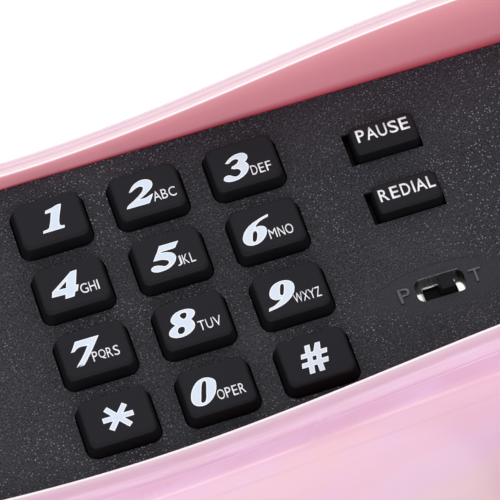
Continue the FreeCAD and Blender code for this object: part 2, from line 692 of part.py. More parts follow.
def bottom_cover():
    ring = housing_ring(float(d.shellWall + d.coverGap), height=float(d.shellFoot))
    slab = form("coverSlab", Part.Face(ring).extrude(Vector(0, 0, d.coverThick)))
    pieces = [slab]
    pieces += [cylinder(f"guide{k}", d.guideRadius, coverTop - OVER, d.guideTop, side * d.guideX)
               for k, side in enumerate((-1, 1))]
    mainPosts = main_post_places()
    pieces += [cylinder(f"mainPost{k}", d.postRadius, coverTop - OVER, coverTop + d.mainHeight, x, y)
               for k, (x, y) in enumerate(mainPosts)]
    holder = cylinder("ringerHolder", d.ringerRadius + d.ringerWall, coverTop - OVER,
                      coverTop + d.mainHeight,
                      ringerX, d.ringerY)
    room = cylinder("ringerRoom", d.ringerRadius + d.screwFit, coverTop, coverTop + d.mainHeight + OVER,
                    ringerX,
                    d.ringerY)
    pieces.append(cut("ringerRing", holder, [room]))
    tools = []
    for k, (x, y) in enumerate(boss_places()):
        tools.append(cylinder(f"coverScrewHole{k}", d.screwShank + d.runGap, d.shellFoot - OVER,
                              coverTop + OVER, x, y))
        tools.append(cylinder(f"coverHeadHole{k}", d.screwHead + d.runGap, d.shellFoot - OVER,
                              d.shellFoot + d.screwHeadHeight, x, y))
    tools += [cylinder(f"footRecess{k}", d.footRadius + d.screwFit, d.shellFoot - OVER,
                       d.shellFoot + d.footRecess, x, y)
              for k, (x, y) in enumerate(foot_places())]
    tools += [cylinder(f"mainPostBore{k}", d.smallShank + d.screwFit, coverTop,
                       coverTop + d.mainHeight + OVER, x, y)
              for k, (x, y) in enumerate(mainPosts)]
    for k in range(int(d.soundSlots)):
        y = d.ringerY + (k - (int(d.soundSlots) - 1) / 2) * d.soundSlotPitch
        tools.append(centred_box(f"soundSlot{k}", ringerX, d.soundSlotLength / 2, y, d.soundSlotWidth / 2,
                                 d.shellFoot - OVER, coverTop + OVER))
    node(cut("bottomCover", fuse("coverWithPosts", pieces), tools), "bottom_cover")
    feet = [cylinder(f"foot{k}", d.footRadius, Size(0), d.shellFoot + d.footRecess, x, y)
            for k, (x, y) in enumerate(foot_places())]
    group("rubber_feet", feet)


def inner_pieces():
    node(cylinder("ringer", d.ringerRadius, coverTop, coverTop + d.ringerHeight, ringerX, d.ringerY),
         "ringer_speaker")
    node(box("ballast", d.ballastLeft, d.ballastRight, d.ballastFront, d.ballastBack, coverTop,
             coverTop + d.ballastThick), "ballast_plate")
    board = body("main_board")
    put(board, 0, 0, coverTop + d.mainHeight)
    pad(board, "mainSlab", [rectangle(d.mainLeft, d.mainRight, d.mainFront, d.mainBack)], Size(0),
        d.boardThick)
    pocket(board, "mainBores", [disc(x, y, d.smallShank + d.screwFit) for x, y in main_post_places()],
           d.boardThick + OVER, Size(-OVER))
    middle = (d.mainFront + d.mainBack) / 2
    pad(board, "dialChip", [rectangle(d.chipX - d.chipLength / 2, d.chipX + d.chipLength / 2,
                                      middle - d.chipWidth / 2, middle + d.chipWidth / 2)],
        d.boardThick, d.boardThick + d.chipHeight)
    leafUnder = leafTop - d.leafThick
    block = box("leafBlock", -d.leafBlockHalf, d.leafBlockHalf, d.mainFront, d.mainFront + d.leafBlockHalf,
                leafUnder,
                leafUnder + d.leafBlockHeight)
    leaf = box("leaf", -d.leafHalf, d.leafHalf, -d.yokeWidth / 4, d.mainFront, leafUnder, leafTop)
    node(fuse("leafSwitch", [block, leaf]), "hook_switch")


def jack(label, width, height, plugWidth, toward, place):
    # modular jack body with its stepped socket, drawn with the mouth at y = 0 and turned to its wall
    shell = box(label + "Body", -width / 2, width / 2, -d.jackDepth, Size(0), Size(0), height)
    floor = (height - d.plugHeight) / 2
    socket = box(label + "Socket", -plugWidth / 2, plugWidth / 2, -d.plugDepth, Size(OVER), floor,
                 floor + d.plugHeight)
    latch = box(label + "Latch", -d.latchWidth / 2, d.latchWidth / 2, -d.plugDepth, Size(OVER),
                floor - d.latchDrop,
                floor + OVER)
    piece = cut(label + "Cut", shell, [socket, latch])
    piece.Placement = FreeCAD.Placement(Vector(*place), FreeCAD.Rotation(ZUP, toward))
    for axis, value in zip("xyz", place):
        piece.setExpression(f"Placement.Base.{axis}", value.text)
    return node(piece, label)


def jacks():
    lift = coverTop + d.jackLift
    jack("line_jack", d.lineJackWidth, d.lineJackHeight, d.linePlugWidth, 0,
         (lineJackX, lineJackBack, lift))
    jack("handset_jack", d.cordJackWidth, d.cordJackHeight, d.cordPlugWidth, 90,
         (-cordJackEnd, Size(0), lift))


def screw(name, x, y, headBottom, headRadius, headHeight, shank, length):
    # head below, shank pointing up
    head = cylinder(name + "Head", headRadius, headBottom, headBottom + headHeight, x, y)
    rod = cylinder(name + "Shank", shank, headBottom + headHeight, headBottom + headHeight + length, x, y)
    return fuse(name, [head, rod])


def base_screws():
    group("cover_screws", [screw(f"coverScrew{k}", x, y, d.shellFoot, d.screwHead, d.screwHeadHeight,
                                 d.screwShank,
                                 d.coverScrewLength) for k, (x, y) in enumerate(boss_places())])
    boardUnder = boardTop - d.boardThick
    places = [(x, y, boardUnder) for x, y in post_places()]
    pieces = [screw(f"boardScrew{k}", x, y, z - d.smallHeadHeight, d.smallHead, d.smallHeadHeight,
                    d.smallShank,
                    d.smallScrewLength) for k, (x, y, z) in enumerate(places)]
    top = coverTop + d.mainHeight + d.boardThick
    for k, (x, y) in enumerate(main_post_places()):
        head = cylinder(f"mainScrewHead{k}", d.smallHead, top, top + d.smallHeadHeight, x, y)
        rod = cylinder(f"mainScrewShank{k}", d.smallShank, top - d.smallScrewLength, top, x, y)
        pieces.append(fuse(f"mainScrew{k}", [head, rod]))
    group("board_screws", pieces)
    group("plate_screws", [screw(f"plateScrew{k}", x, y, ledgeUnder - d.smallHeadHeight, d.smallHead,
                                 d.smallHeadHeight, d.smallShank, d.plateScrewLength)
                           for k, (x, y) in enumerate(plate_screw_places())])


# Handset, drawn about its own middle with the caps' faces down

def handset_side(shrink):
    # prism of the side view: caps, arched grip and back
    x, inner, under = float(d.handHalf), float(d.capInner), float(d.gripUnderX)
    corners = [(inner, 0), (x, 0), (x, float(d.topEnd)), (0, float(d.topMiddle)), (-x, float(d.topEnd)),
               (-x, 0),
               (-inner, 0), (-under, float(d.gripUnderEnd)), (0, float(d.gripUnder)),
               (under, float(d.gripUnderEnd))]
    inside = float(d.gripInnerBend)
    bends = [0, 0, 0, float(d.topBend), 0, 0, 0, inside, float(d.gripUnderBend), inside]
    reach = float(d.capHalf) + FAR
    return rounded_prism(corners, bends, "XZ", -reach, reach, shrink)


def handset_plan(shrink):
    # prism of the view from above: wide caps and a slim grip
    x, y, grip = float(d.handHalf), float(d.capHalf), float(d.gripHalf)
    start, end, bend = float(d.waistStart), float(d.waistEnd), float(d.waistBend)
    quarter = [(x, y), (start, y), (end, grip)]
    corners = quarter + [(-px, py) for px, py in reversed(quarter)]
    corners += [(-px, -py) for px, py in corners[:3]] + [(px, -py) for px, py in reversed(corners[:3])]
    bends = [float(d.capCorner), bend, bend, bend, bend, float(d.capCorner)] * 2
    return rounded_prism(corners, bends, "XY", -FAR, float(d.topMiddle) + FAR, shrink)


def creases(shape, low=0.0):
    # edges where two faces meet at an angle, with the middle of their height above a level
    found = []
    for edge in shape.Edges:
        faces = shape.ancestorsOfType(edge, Part.Face)
        middle = edge.valueAt((edge.FirstParameter + edge.LastParameter) / 2)
        normals = [face.normalAt(*face.Surface.parameter(middle)) for face in faces]
        height = (edge.BoundBox.ZMin + edge.BoundBox.ZMax) / 2
        if len(normals) == 2 and normals[0].getAngle(normals[1]) > CREASE and height >= low - CREASE:
            found.append(edge)
    return found


def handset_outside():
    solid = handset_side(0.0).common(handset_plan(0.0))
    solid = solid.makeFillet(float(d.backRound), creases(solid, float(d.gripUnder) + OVER))
    return solid.makeFillet(float(d.faceRound), creases(solid))


def handset_inside():
    # the hollow has square edges, which the wall still covers under the rounded back
    return handset_side(float(d.handWall)).common(handset_plan(float(d.handWall)))


def parting_prism():
    # everything below the line where the two shells of the handset meet
    far, side = float(d.handHalf) + FAR, float(d.capHalf) + FAR
    cap, grip, start, end = float(d.partCap), float(d.partGrip), float(d.partStart), float(d.partEnd)
    corners = [(-far, -FAR), (far, -FAR), (far, cap), (start, cap), (end, grip), (-end, grip),
               (-start, cap),
               (-far, cap)]
    return rounded_prism(corners, [0, 0, 0] + [float(d.partBend)] * 4 + [0], "XZ", -side, side)


def hand_boss_places():
    return [(sx * d.handBossX, sy * d.handBossY) for sx in (-1, 1) for sy in (-1, 1)]


def rods(radius, low, high, places):
    return [Part.makeCylinder(radius, high - low, Vector(x, y, low)) for x, y in places]


def handset_shells():
    outer, inner, below = handset_outside(), handset_inside(), parting_prism()
    skin = outer.cut(inner)
    cups = rods(d.capsuleRadius + d.capsuleFit + d.cupWall, seatBottom, seatTop + d.cupDepth,
                [(-capX, 0), (capX, 0)])
    lowBosses = rods(d.handBossRadius, d.handScrewSink, d.partCap, hand_boss_places())
    highBosses = rods(d.handBossRadius, d.partCap + d.partStep, float(d.topMiddle), hand_boss_places())
    face = skin.common(below).multiFuse(cups + lowBosses)
    back = skin.cut(below).multiFuse([boss.common(outer) for boss in highBosses])
    facePiece = put(form("handsetFaceForm", face), 0, d.handsetY, 0)
    backPiece = put(form("handsetBackForm", back), 0, d.handsetY, 0)
    tools = []
    for k, side in enumerate((-1, 1)):
        tools.append(cylinder(f"grilleSeat{k}", d.grilleRadius + d.grilleFit, Size(-OVER), seatBottom,
                              side * capX,
                              d.handsetY))
        tools.append(cylinder(f"seatBore{k}", d.seatRadius, Size(-OVER), seatTop + OVER, side * capX,
                              d.handsetY))
        tools.append(cylinder(f"capsuleBore{k}", d.capsuleRadius + d.capsuleFit, seatTop,
                              seatTop + d.cupDepth + OVER,
                              side * capX, d.handsetY))
    headTop = d.handScrewSink + d.screwHeadHeight
    for k, (x, y) in enumerate(hand_boss_places()):
        tools.append(cylinder(f"handHead{k}", d.screwHead + d.screwFit, Size(-OVER), headTop, x,
                              d.handsetY + y))
        tools.append(cylinder(f"handBore{k}", d.screwShank + d.screwFit, Size(-OVER), d.partCap, x,
                              d.handsetY + y))
    node(cut("faceShell", facePiece, tools), "handset_face_shell")
    bores = [cylinder(f"backBore{k}", d.screwShank + d.screwFit, d.partCap,
                      headTop + d.handScrewLength + OVER, x,
                      d.handsetY + y) for k, (x, y) in enumerate(hand_boss_places())]
    half, low = d.cordJackWidth / 2 + d.plateGap, d.partCap + d.partStep
    hole = box("cordHole", -d.handHalf - OVER, -d.handHalf + d.handWall + OVER, d.handsetY - half,
               d.handsetY + half,
               low - d.plateGap, low + d.cordJackHeight + d.plateGap)
    node(cut("backShell", backPiece, bores + [hole]), "handset_back_shell")


def grille(label, x):
    piece = body(label)
    put(piece, x, d.handsetY, seatBottom)
    pad(piece, label + "Disc", [disc(Size(0), Size(0), d.grilleRadius)], -d.grilleThick, Size(0))
    hole = pocket(piece, label + "Hole", [disc(d.holeRing, Size(0), d.holeRadius)], Size(OVER),
                  -d.grilleThick - OVER)
    doc.recompute()
    ring = piece.newObject("PartDesign::PolarPattern", label + "Ring")
    ring.Originals = [hole]
    ring.Axis = (hole.Profile[0], ["N_Axis"])
    ring.Angle = 360
    ring.Occurrences = int(d.holeCount)
    piece.Tip = ring
    pocket(piece, label + "Middle", [disc(Size(0), Size(0), d.holeRadius)], Size(OVER),
           -d.grilleThick - OVER)


def handset_pieces():
    grille("mouthpiece_grille", -capX)
    grille("earpiece_grille", capX)
    node(cylinder("capsule", d.capsuleRadius, seatTop, seatTop + d.capsuleHeight, capX, d.handsetY),
         "receiver_capsule")
    holder = cylinder("holderDisc", d.capsuleRadius, seatTop, seatTop + d.holderHeight, -capX, d.handsetY)
    bore = cylinder("holderBore", d.micRadius + d.screwFit, seatTop - OVER, seatTop + d.holderHeight + OVER,
                    -capX,
                    d.handsetY)
    node(cut("micHolder", holder, [bore]), "microphone_holder")
    node(cylinder("mic", d.micRadius, seatTop, seatTop + d.micHeight, -capX, d.handsetY), "microphone")
    slope = (d.gripUnder - d.gripUnderEnd) / d.gripUnderX
    floor = d.gripUnder - d.gripUnderBend * (root(1 + slope * slope) - 1) + d.handWall
    node(box("weight", -d.weightLength / 2, d.weightLength / 2, d.handsetY - d.weightWidth / 2,
             d.handsetY + d.weightWidth / 2, floor, floor + d.weightThick), "handset_weight")
    jack("handset_cord_jack", d.cordJackWidth, d.cordJackHeight, d.cordPlugWidth, 90,
         (d.jackSink - d.handHalf, d.handsetY, d.partCap + d.partStep))
    group("handset_screws", [screw(f"handScrew{k}", x, d.handsetY + y, d.handScrewSink, d.screwHead,
                                   d.screwHeadHeight, d.screwShank, d.handScrewLength)
                             for k, (x, y) in enumerate(hand_boss_places())])


def export():
    doc.recompute()
    for thing in doc.Objects:
        if "Invalid" in thing.State or "Error" in thing.State:
            raise ValueError(f"{thing.Label} failed: {thing.State}")
    for piece in nodes:
        if piece.Shape.isNull() or not piece.Shape.isValid():
            raise ValueError(f"{piece.Label} has no valid shape")
    for piece in nodes:
        piece.Shape.exportStep(f"parts/{piece.Label}.step")
        print(piece.Label, len(piece.Shape.Solids), round(piece.Shape.Volume, 1))


base_shell()
faceplate()
keys()
keypad_mat()
keypad_board()
tone_switch()
cradle_switch()
bottom_cover()
inner_pieces()
jacks()
base_screws()
handset_shells()
handset_pieces()
export()
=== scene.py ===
import json
import math
from contextlib import contextmanager
from functools import partialmethod

import bmesh
import bpy
from mathutils import Matrix, Vector


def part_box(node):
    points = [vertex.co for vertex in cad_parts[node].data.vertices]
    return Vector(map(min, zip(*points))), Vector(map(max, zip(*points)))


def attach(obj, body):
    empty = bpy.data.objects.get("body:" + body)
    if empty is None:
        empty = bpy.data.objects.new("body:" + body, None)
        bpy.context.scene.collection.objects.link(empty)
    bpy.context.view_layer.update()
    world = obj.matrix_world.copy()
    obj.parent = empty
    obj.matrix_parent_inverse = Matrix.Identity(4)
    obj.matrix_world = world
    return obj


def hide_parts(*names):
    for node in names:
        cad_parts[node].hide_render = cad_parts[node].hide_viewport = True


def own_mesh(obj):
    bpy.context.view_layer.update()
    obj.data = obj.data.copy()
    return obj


# Compact bedroom telephone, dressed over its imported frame. Sizes are in millimetres unless a note says otherwise.

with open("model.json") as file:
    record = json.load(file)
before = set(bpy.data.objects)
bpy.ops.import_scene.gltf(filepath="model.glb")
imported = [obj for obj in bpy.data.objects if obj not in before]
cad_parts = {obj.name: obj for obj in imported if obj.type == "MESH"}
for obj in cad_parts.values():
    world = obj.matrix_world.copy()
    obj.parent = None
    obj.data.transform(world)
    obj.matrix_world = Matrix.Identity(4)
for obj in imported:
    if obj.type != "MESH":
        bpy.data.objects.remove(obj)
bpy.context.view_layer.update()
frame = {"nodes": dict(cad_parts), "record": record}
mm = 0.001
collection = bpy.context.scene.collection
print("stage: frame loaded", len(frame["nodes"]), "nodes")


# small helpers

def linkObject(name, data):
    obj = bpy.data.objects.new(name, data)
    collection.objects.link(obj)
    return obj


def rawMesh(name, points, faces, edges=()):
    mesh = bpy.data.meshes.new(name)
    mesh.from_pydata([Vector(p) * mm for p in points], edges, faces)
    return mesh


def dress(mesh, *materials):
    mesh.materials.clear()
    for material in materials:
        mesh.materials.append(material)


@contextmanager
def reworked(mesh):
    work = bmesh.new()
    work.from_mesh(mesh)
    yield work
    work.to_mesh(mesh)
    work.free()


def tidyMesh(mesh, creaseAngle=35, outward=True, join=1e-6):
    with reworked(mesh) as work:
        if join:
            bmesh.ops.remove_doubles(work, verts=work.verts, dist=join)
        if outward:
            bmesh.ops.recalc_face_normals(work, faces=work.faces)
    mesh.shade_smooth()
    mesh.set_sharp_from_angle(angle=math.radians(creaseAngle))


def meshPiece(name, points, faces, materials, creaseAngle=35):
    mesh = rawMesh(name, points, faces)
    dress(mesh, *materials)
    tidyMesh(mesh, creaseAngle)
    return linkObject(name, mesh)


def seat(obj, body, slotName, *stoodFor):
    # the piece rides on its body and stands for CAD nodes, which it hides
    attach(obj, body)
    if stoodFor:
        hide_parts(*stoodFor)
    return obj


def nodeBox(name):
    low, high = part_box(name)
    return low / mm, high / mm


def nodePlan(name):
    # a node's corners, and its middle and half size seen from above
    low, high = nodeBox(name)
    middle, half = (low + high) / 2, (high - low) / 2
    return low, high, middle.x, middle.y, half.x, half.y


def evaluatedMesh(obj, name):
    mesh = bpy.data.meshes.new_from_object(obj.evaluated_get(bpy.context.evaluated_depsgraph_get()))
    mesh.name = name
    return mesh


def applyModifiers(obj):
    obj.data = evaluatedMesh(obj, obj.name)
    obj.modifiers.clear()


def meshOfCurve(name, curve):
    obj = linkObject(name, curve)
    mesh = evaluatedMesh(obj, name)
    bpy.data.objects.remove(obj)
    return mesh


# node trees

class Tree:
    # short calls for the nodes that looks and shapes repeat; a value is a number, a colour or a node's socket

    def __init__(self, tree):
        self.tree = tree

    def feed(self, socket, value):
        if isinstance(value, tuple) and isinstance(value[0], bpy.types.NodeSocket):
            for each in value:
                self.tree.links.new(each, socket)
        elif isinstance(value, bpy.types.NodeSocket):
            self.tree.links.new(value, socket)
        else:
            socket.default_value = value

    def add(self, kind, inputs=None, **settings):
        made = self.tree.nodes.new(kind)
        for key, value in settings.items():
            setattr(made, key, value)
        for key, value in (inputs or {}).items():
            self.feed(made.inputs[key], value)
        return made.outputs

    def maths(self, operation, *values):
        return self.add("ShaderNodeMath", dict(enumerate(values)), operation=operation)[0]

    times, plus = partialmethod(maths, "MULTIPLY"), partialmethod(maths, "ADD")
    minus, over = partialmethod(maths, "SUBTRACT"), partialmethod(maths, "DIVIDE")
    below, magnitude = partialmethod(maths, "LESS_THAN"), partialmethod(maths, "ABSOLUTE")

    def span(self, value, low, high, toLow=0.0, toHigh=1.0):
        ends = {"From Min": low, "From Max": high, "To Min": toLow, "To Max": toHigh}
        return self.add("ShaderNodeMapRange", {"Value": value, **ends})["Result"]

    def blend(self, share, first, second):
        first, second = ((*c, 1) if isinstance(c, tuple) else c for c in (first, second))
        return self.add("ShaderNodeMix", {0: share, 6: first, 7: second}, data_type="RGBA")[2]

    def ramp(self, factor, stops, ease="LINEAR"):
        made = self.tree.nodes.new("ShaderNodeValToRGB")
        self.feed(made.inputs["Fac"], factor)
        made.color_ramp.interpolation = ease
        elements = made.color_ramp.elements
        while len(elements) > 1:
            elements.remove(elements[-1])
        elements[0].position, elements[0].color = stops[0][0], (*stops[0][1], 1)
        for place, colour in stops[1:]:
            elements.new(place).color = (*colour, 1)
        return made.outputs["Color"]

    def place(self):
        return self.add("ShaderNodeTexCoord")["Object"]

    def split(self, vector):
        return self.add("ShaderNodeSeparateXYZ", {"Vector": vector})

    def vector(self, x=0.0, y=0.0, z=0.0):
        return self.add("ShaderNodeCombineXYZ", {"X": x, "Y": y, "Z": z})["Vector"]

    def mapped(self, vector, **sockets):
        return self.add("ShaderNodeMapping", {"Vector": vector, **sockets})["Vector"]

    def noise(self, vector, scale, detail=2.0, **sockets):
        return self.add("ShaderNodeTexNoise", {"Vector": vector, "Scale": scale, "Detail": detail, **sockets})["Fac"]

    def group(self, tree, **values):
        return self.add("ShaderNodeGroup", values, node_tree=tree)

    def shape(self, kind, output, inputs=None, **settings):
        return self.add("GeometryNode" + kind, inputs, **settings)[output]


class Group(Tree):
    # a node group with number inputs; keys holds the identifiers by which a modifier sets them

    def __init__(self, name, inputs, outputs, outputKind="NodeSocketFloat", kind="ShaderNodeTree"):
        super().__init__(bpy.data.node_groups.new(name, kind))
        self.keys = {}
        if kind == "GeometryNodeTree":
            self.socket("Geometry", "INPUT", outputKind)
        for label, value in inputs.items():
            made = self.socket(label, "INPUT", "NodeSocketFloat")
            made.default_value = value
            self.keys[label] = made.identifier
        for label in outputs:
            self.socket(label, "OUTPUT", outputKind)
        self.source = self.add("NodeGroupInput")
        self.target = self.tree.nodes.new("NodeGroupOutput").inputs

    def socket(self, label, way, kind):
        return self.tree.interface.new_socket(name=label, in_out=way, socket_type=kind)

    def give(self, **values):
        for label, value in values.items():
            self.feed(self.target[label], value)
        return self.tree


def newMaterial(name, sockets):
    material = bpy.data.materials.new(name)
    material.use_nodes = True
    shader = material.node_tree.nodes["Principled BSDF"]
    for key, value in sockets.items():
        shader.inputs[key].default_value = value
    material.diffuse_color = sockets["Base Color"]
    return material, shader


class Finish(Tree):
    # one material: handling marks of a size set its roughness from low to high

    def __init__(self, name, sockets, size, low, high):
        self.material, self.shader = newMaterial(name, sockets)
        super().__init__(self.material.node_tree)
        self.marks = self.group(handling, Size=size, Low=low, High=high)

    def end(self, tone, height, distance, strength=1.0):
        bump = self.add("ShaderNodeBump", {"Height": height, "Distance": distance * mm, "Strength": strength})
        for key, value in (("Base Color", tone), ("Roughness", self.marks["Roughness"]), ("Normal", bump["Normal"])):
            self.feed(self.shader.inputs[key], value)
        return self.material


# camera, floor and lights

cameraPlace = {"elevation": 58.7, "yaw": -11.84, "roll": -6.54, "target": (32.271, 3.502, 30.0),
               "distance": 590.04, "lens": 288, "sensor": 36, "clip": (0.05, 20)}


def makeCamera():
    elevation, yaw, roll = (math.radians(cameraPlace[k]) for k in ("elevation", "yaw", "roll"))
    back = Vector((math.sin(yaw) * math.cos(elevation), -math.cos(yaw) * math.cos(elevation),
                   math.sin(elevation)))
    level = Vector((math.cos(yaw), math.sin(yaw), 0))
    upright = back.cross(level)
    across = level * math.cos(roll) + upright * math.sin(roll)
    up = upright * math.cos(roll) - level * math.sin(roll)
    data = bpy.data.cameras.new("camera")
    data.lens, data.sensor_width = cameraPlace["lens"], cameraPlace["sensor"]
    data.clip_start, data.clip_end = cameraPlace["clip"]
    place = (Vector(cameraPlace["target"]) + back * cameraPlace["distance"]) * mm
    camera = linkObject("camera", data)
    camera.matrix_world = Matrix.Translation(place) @ Matrix((across, up, back)).transposed().to_4x4()
    bpy.context.scene.camera = camera


# each soft box: place, size, power in watts, colour, the point it faces, all in metres
softBoxes = {
    "overhead": ((0.0, 0.33, 0.8), (0.8, 0.6), 1.5, (1.0, 0.99, 0.985), (0.0, 0.0, 0.0)),
    "behind": ((0.1, 0.85, 0.35), (1.8, 0.5), 4.0, (1.0, 0.99, 0.995), (0.0, 0.0, 0.03)),
    "near": ((-0.35, -1.0, 0.6), (2.4, 1.4), 18.5, (0.985, 0.99, 1.0), (0.0, 0.0, 0.0)),
    "right": ((0.8, -0.25, 0.4), (0.7, 0.7), 1.6, (1.0, 0.99, 0.98), (0.0, 0.0, 0.0)),
}
floorRadius = 3.0
floorLook = {"Base Color": (0.93, 0.93, 0.935, 1), "Roughness": 0.7, "Emission Color": (0.93, 0.93, 0.935, 1),
             "Emission Strength": 0.35}
worldLook = {"Color": (0.97, 0.97, 1.0, 1), "Strength": 0.42}


def makeLights():
    for name, (place, size, power, colour, aim) in softBoxes.items():
        data = bpy.data.lights.new(name, "AREA")
        data.shape, data.size, data.size_y = "RECTANGLE", size[0], size[1]
        data.energy, data.color = power, colour
        lamp = linkObject(name, data)
        turn = (Vector(aim) - Vector(place)).to_track_quat("-Z", "Y")
        lamp.matrix_world = Matrix.Translation(Vector(place)) @ turn.to_matrix().to_4x4()
    world = bpy.data.worlds.new("studio")
    world.use_nodes = True
    for key, value in worldLook.items():
        world.node_tree.nodes["Background"].inputs[key].default_value = value
    bpy.context.scene.world = world
    bpy.context.scene.view_settings.view_transform = "Standard"


def makeFloor():
    material, _ = newMaterial("paleFloor", floorLook)
    r = floorRadius / mm
    floor = meshPiece("floor", [(-r, -r, 0), (r, -r, 0), (r, r, 0), (-r, r, 0)], [(0, 1, 2, 3)], [material])


# grain of moulded and sanded surfaces: a height for bumps, a mottling and a mask of bright points

def makeGrain():
    t = Group("mouldedGrain", {"Grain": 0.4, "Points": 0.5, "Share": 0.3}, ("Height", "Mottle", "Sparkle"))
    place = t.place()
    grainScale, pointScale = (t.over(1 / mm, t.source[k]) for k in ("Grain", "Points"))
    fine, broad = t.noise(place, grainScale, Roughness=0.6), t.noise(place, 55.0)
    pits = t.add("ShaderNodeTexVoronoi", {"Vector": place, "Scale": grainScale}, feature="SMOOTH_F1")["Distance"]
    points = t.add("ShaderNodeTexVoronoi", {"Vector": place, "Scale": pointScale})
    near = t.span(points["Distance"], 0.12, 0.3, 1.0, 0.0)
    chosen = t.below(t.add("ShaderNodeSeparateColor", {"Color": points["Color"]})["Red"], t.source["Share"])
    return t.give(Height=t.minus(fine, t.times(pits, 0.45)), Mottle=t.plus(t.times(fine, 0.8), t.times(broad, 0.2)),
                  Sparkle=t.times(near, chosen))


# handling marks: where a surface is a little duller or brighter, and a faint unevenness

def makeHandling():
    t = Group("handlingMarks", {"Size": 12.0, "Low": 0.2, "High": 0.4}, ("Roughness", "Shade", "Height"))
    marks = t.noise(t.place(), t.over(1 / mm, t.source["Size"]), 4.0, Roughness=0.65, Distortion=0.4)
    return t.give(Roughness=t.span(marks, 0.3, 0.7, t.source["Low"], t.source["High"]),
                  Shade=t.span(marks, 0.25, 0.75), Height=marks)


# pearl bands: broad slanting bands that go from pink over lilac to cream and back, sizes in millimetres
pearlBands = {"slant": (0.37, -0.83, -0.5), "driftScale": 38.0,
              "tones": [(0.0, (0.77, 0.51, 0.565)), (0.34, (0.76, 0.50, 0.61)), (0.50, (0.75, 0.54, 0.665)),
                        (0.74, (0.77, 0.60, 0.635)), (1.0, (0.79, 0.63, 0.61))]}


def makeBands():
    t = Group("pearlBands", {"Start": 25.0, "Half": 22.0, "Wander": 3.0}, ("Colour",), "NodeSocketColor")
    place, half = t.place(), t.source["Half"]
    along = t.add("ShaderNodeVectorMath", {0: place, 1: [v / mm for v in pearlBands["slant"]]},
                  operation="DOT_PRODUCT")["Value"]
    drift = t.times(t.minus(t.noise(place, pearlBands["driftScale"], 1.0), 0.5), t.times(t.source["Wander"], 4.0))
    along = t.minus(t.plus(along, drift), t.source["Start"])
    return t.give(Colour=t.ramp(t.over(t.maths("PINGPONG", along, half), half), pearlBands["tones"], "EASE"))


makeCamera()
makeLights()
makeFloor()
grain, handling, bands = makeGrain(), makeHandling(), makeBands()
print("stage: camera, lights and floor")


# finishes: in each look, marks are the size of the handling marks and the roughness from and to

def plainFinish(name, colour, shade, roughness, grainSize, relief, **sockets):
    # moulded or metal finish: two tones, uneven gloss and a fine relief
    more = {key.replace("_", " "): value for key, value in sockets.items()}
    t = Finish(name, {"Base Color": (*colour, 1), **more}, 9.0, *roughness)
    texture = t.group(grain, Grain=grainSize, Points=1.0, Share=0.0)
    tone = t.blend(t.marks["Shade"], shade, colour)
    tone = t.blend(t.span(texture["Mottle"], 0.35, 0.65, 0.0, 0.25), tone, shade)
    return t.end(tone, texture["Height"], relief)


# glossy pearl shell: the zone comes from the shell's own map, 0 to 1 up the trough's wall, 1 to 2 across the rim,
# 2 to 3 down the flank and 3 to 4 inside
pearlCoat = {"Base Color": (0.84, 0.5, 0.62, 1), "Coat Weight": 0.6, "Coat Roughness": 0.1, "Coat IOR": 1.5,
             "Specular IOR Level": 0.5}
shellLook = {
    # up the trough's wall the tones paint its light: a deeper pink than the rim as painted shade and the wall's
    # painted reflection of itself, darkest red at the foot as painted shade and a painted reflection of the dark
    # plate, and lighter just under the rim as painted light
    "zones": [(0.0, (0.52, 0.05, 0.085)), (0.014, (0.66, 0.14, 0.185)), (0.045, (0.82, 0.31, 0.375)),
              (0.14, (0.84, 0.325, 0.385)), (0.21, (0.92, 0.38, 0.43)), (0.24, (0.90, 0.44, 0.49)),
              (0.262, (0.88, 0.66, 0.70)), (0.32, (0.85, 0.61, 0.67)), (0.42, (0.78, 0.51, 0.61)),
              (0.50, (0.68, 0.43, 0.57)), (0.75, (0.76, 0.52, 0.60)), (0.76, (0.70, 0.36, 0.44))],
    # the near side's rim, from its edge down to where the bands start: a darker, lilac copy of the rim's tones,
    # painted shade
    "nearRimShade": [(0.2875, (0.68, 0.53, 0.58)), (0.33, (0.70, 0.43, 0.545)), (0.42, (0.65, 0.39, 0.51)),
                (0.50, (0.645, 0.385, 0.53)), (0.54, (0.685, 0.41, 0.55))],
    # painted highlights on the rim's inner edges, and painted reflection lines along the shell: zone, half width,
    # strength, colour, side (1 far, -1 near)
    "edges": [(1.05, 0.045, 0.85, (0.96, 0.86, 0.89), 1), (1.10, 0.09, 0.9, (1.0, 0.93, 0.95), -1)],
    "lines": [(1.31, 0.035, 0.45, (0.62, 0.30, 0.38), 1), (2.02, 0.007, 0.4, (0.90, 0.68, 0.80), -1),
              (2.128, 0.009, 0.45, (0.95, 0.66, 0.69), -1), (2.205, 0.007, 0.3, (0.62, 0.38, 0.49), -1)],
    # the streak colour paints reflection streaks on the flank
    "lilac": (0.72, 0.52, 0.74), "streak": (0.86, 0.60, 0.70), "zoneEnd": 4.0, "rimStart": (1.13, 1.17),
    "bandStart": (2.09, 2.15), "inside": 3.01, "marks": (18.0, 0.16, 0.28),
}


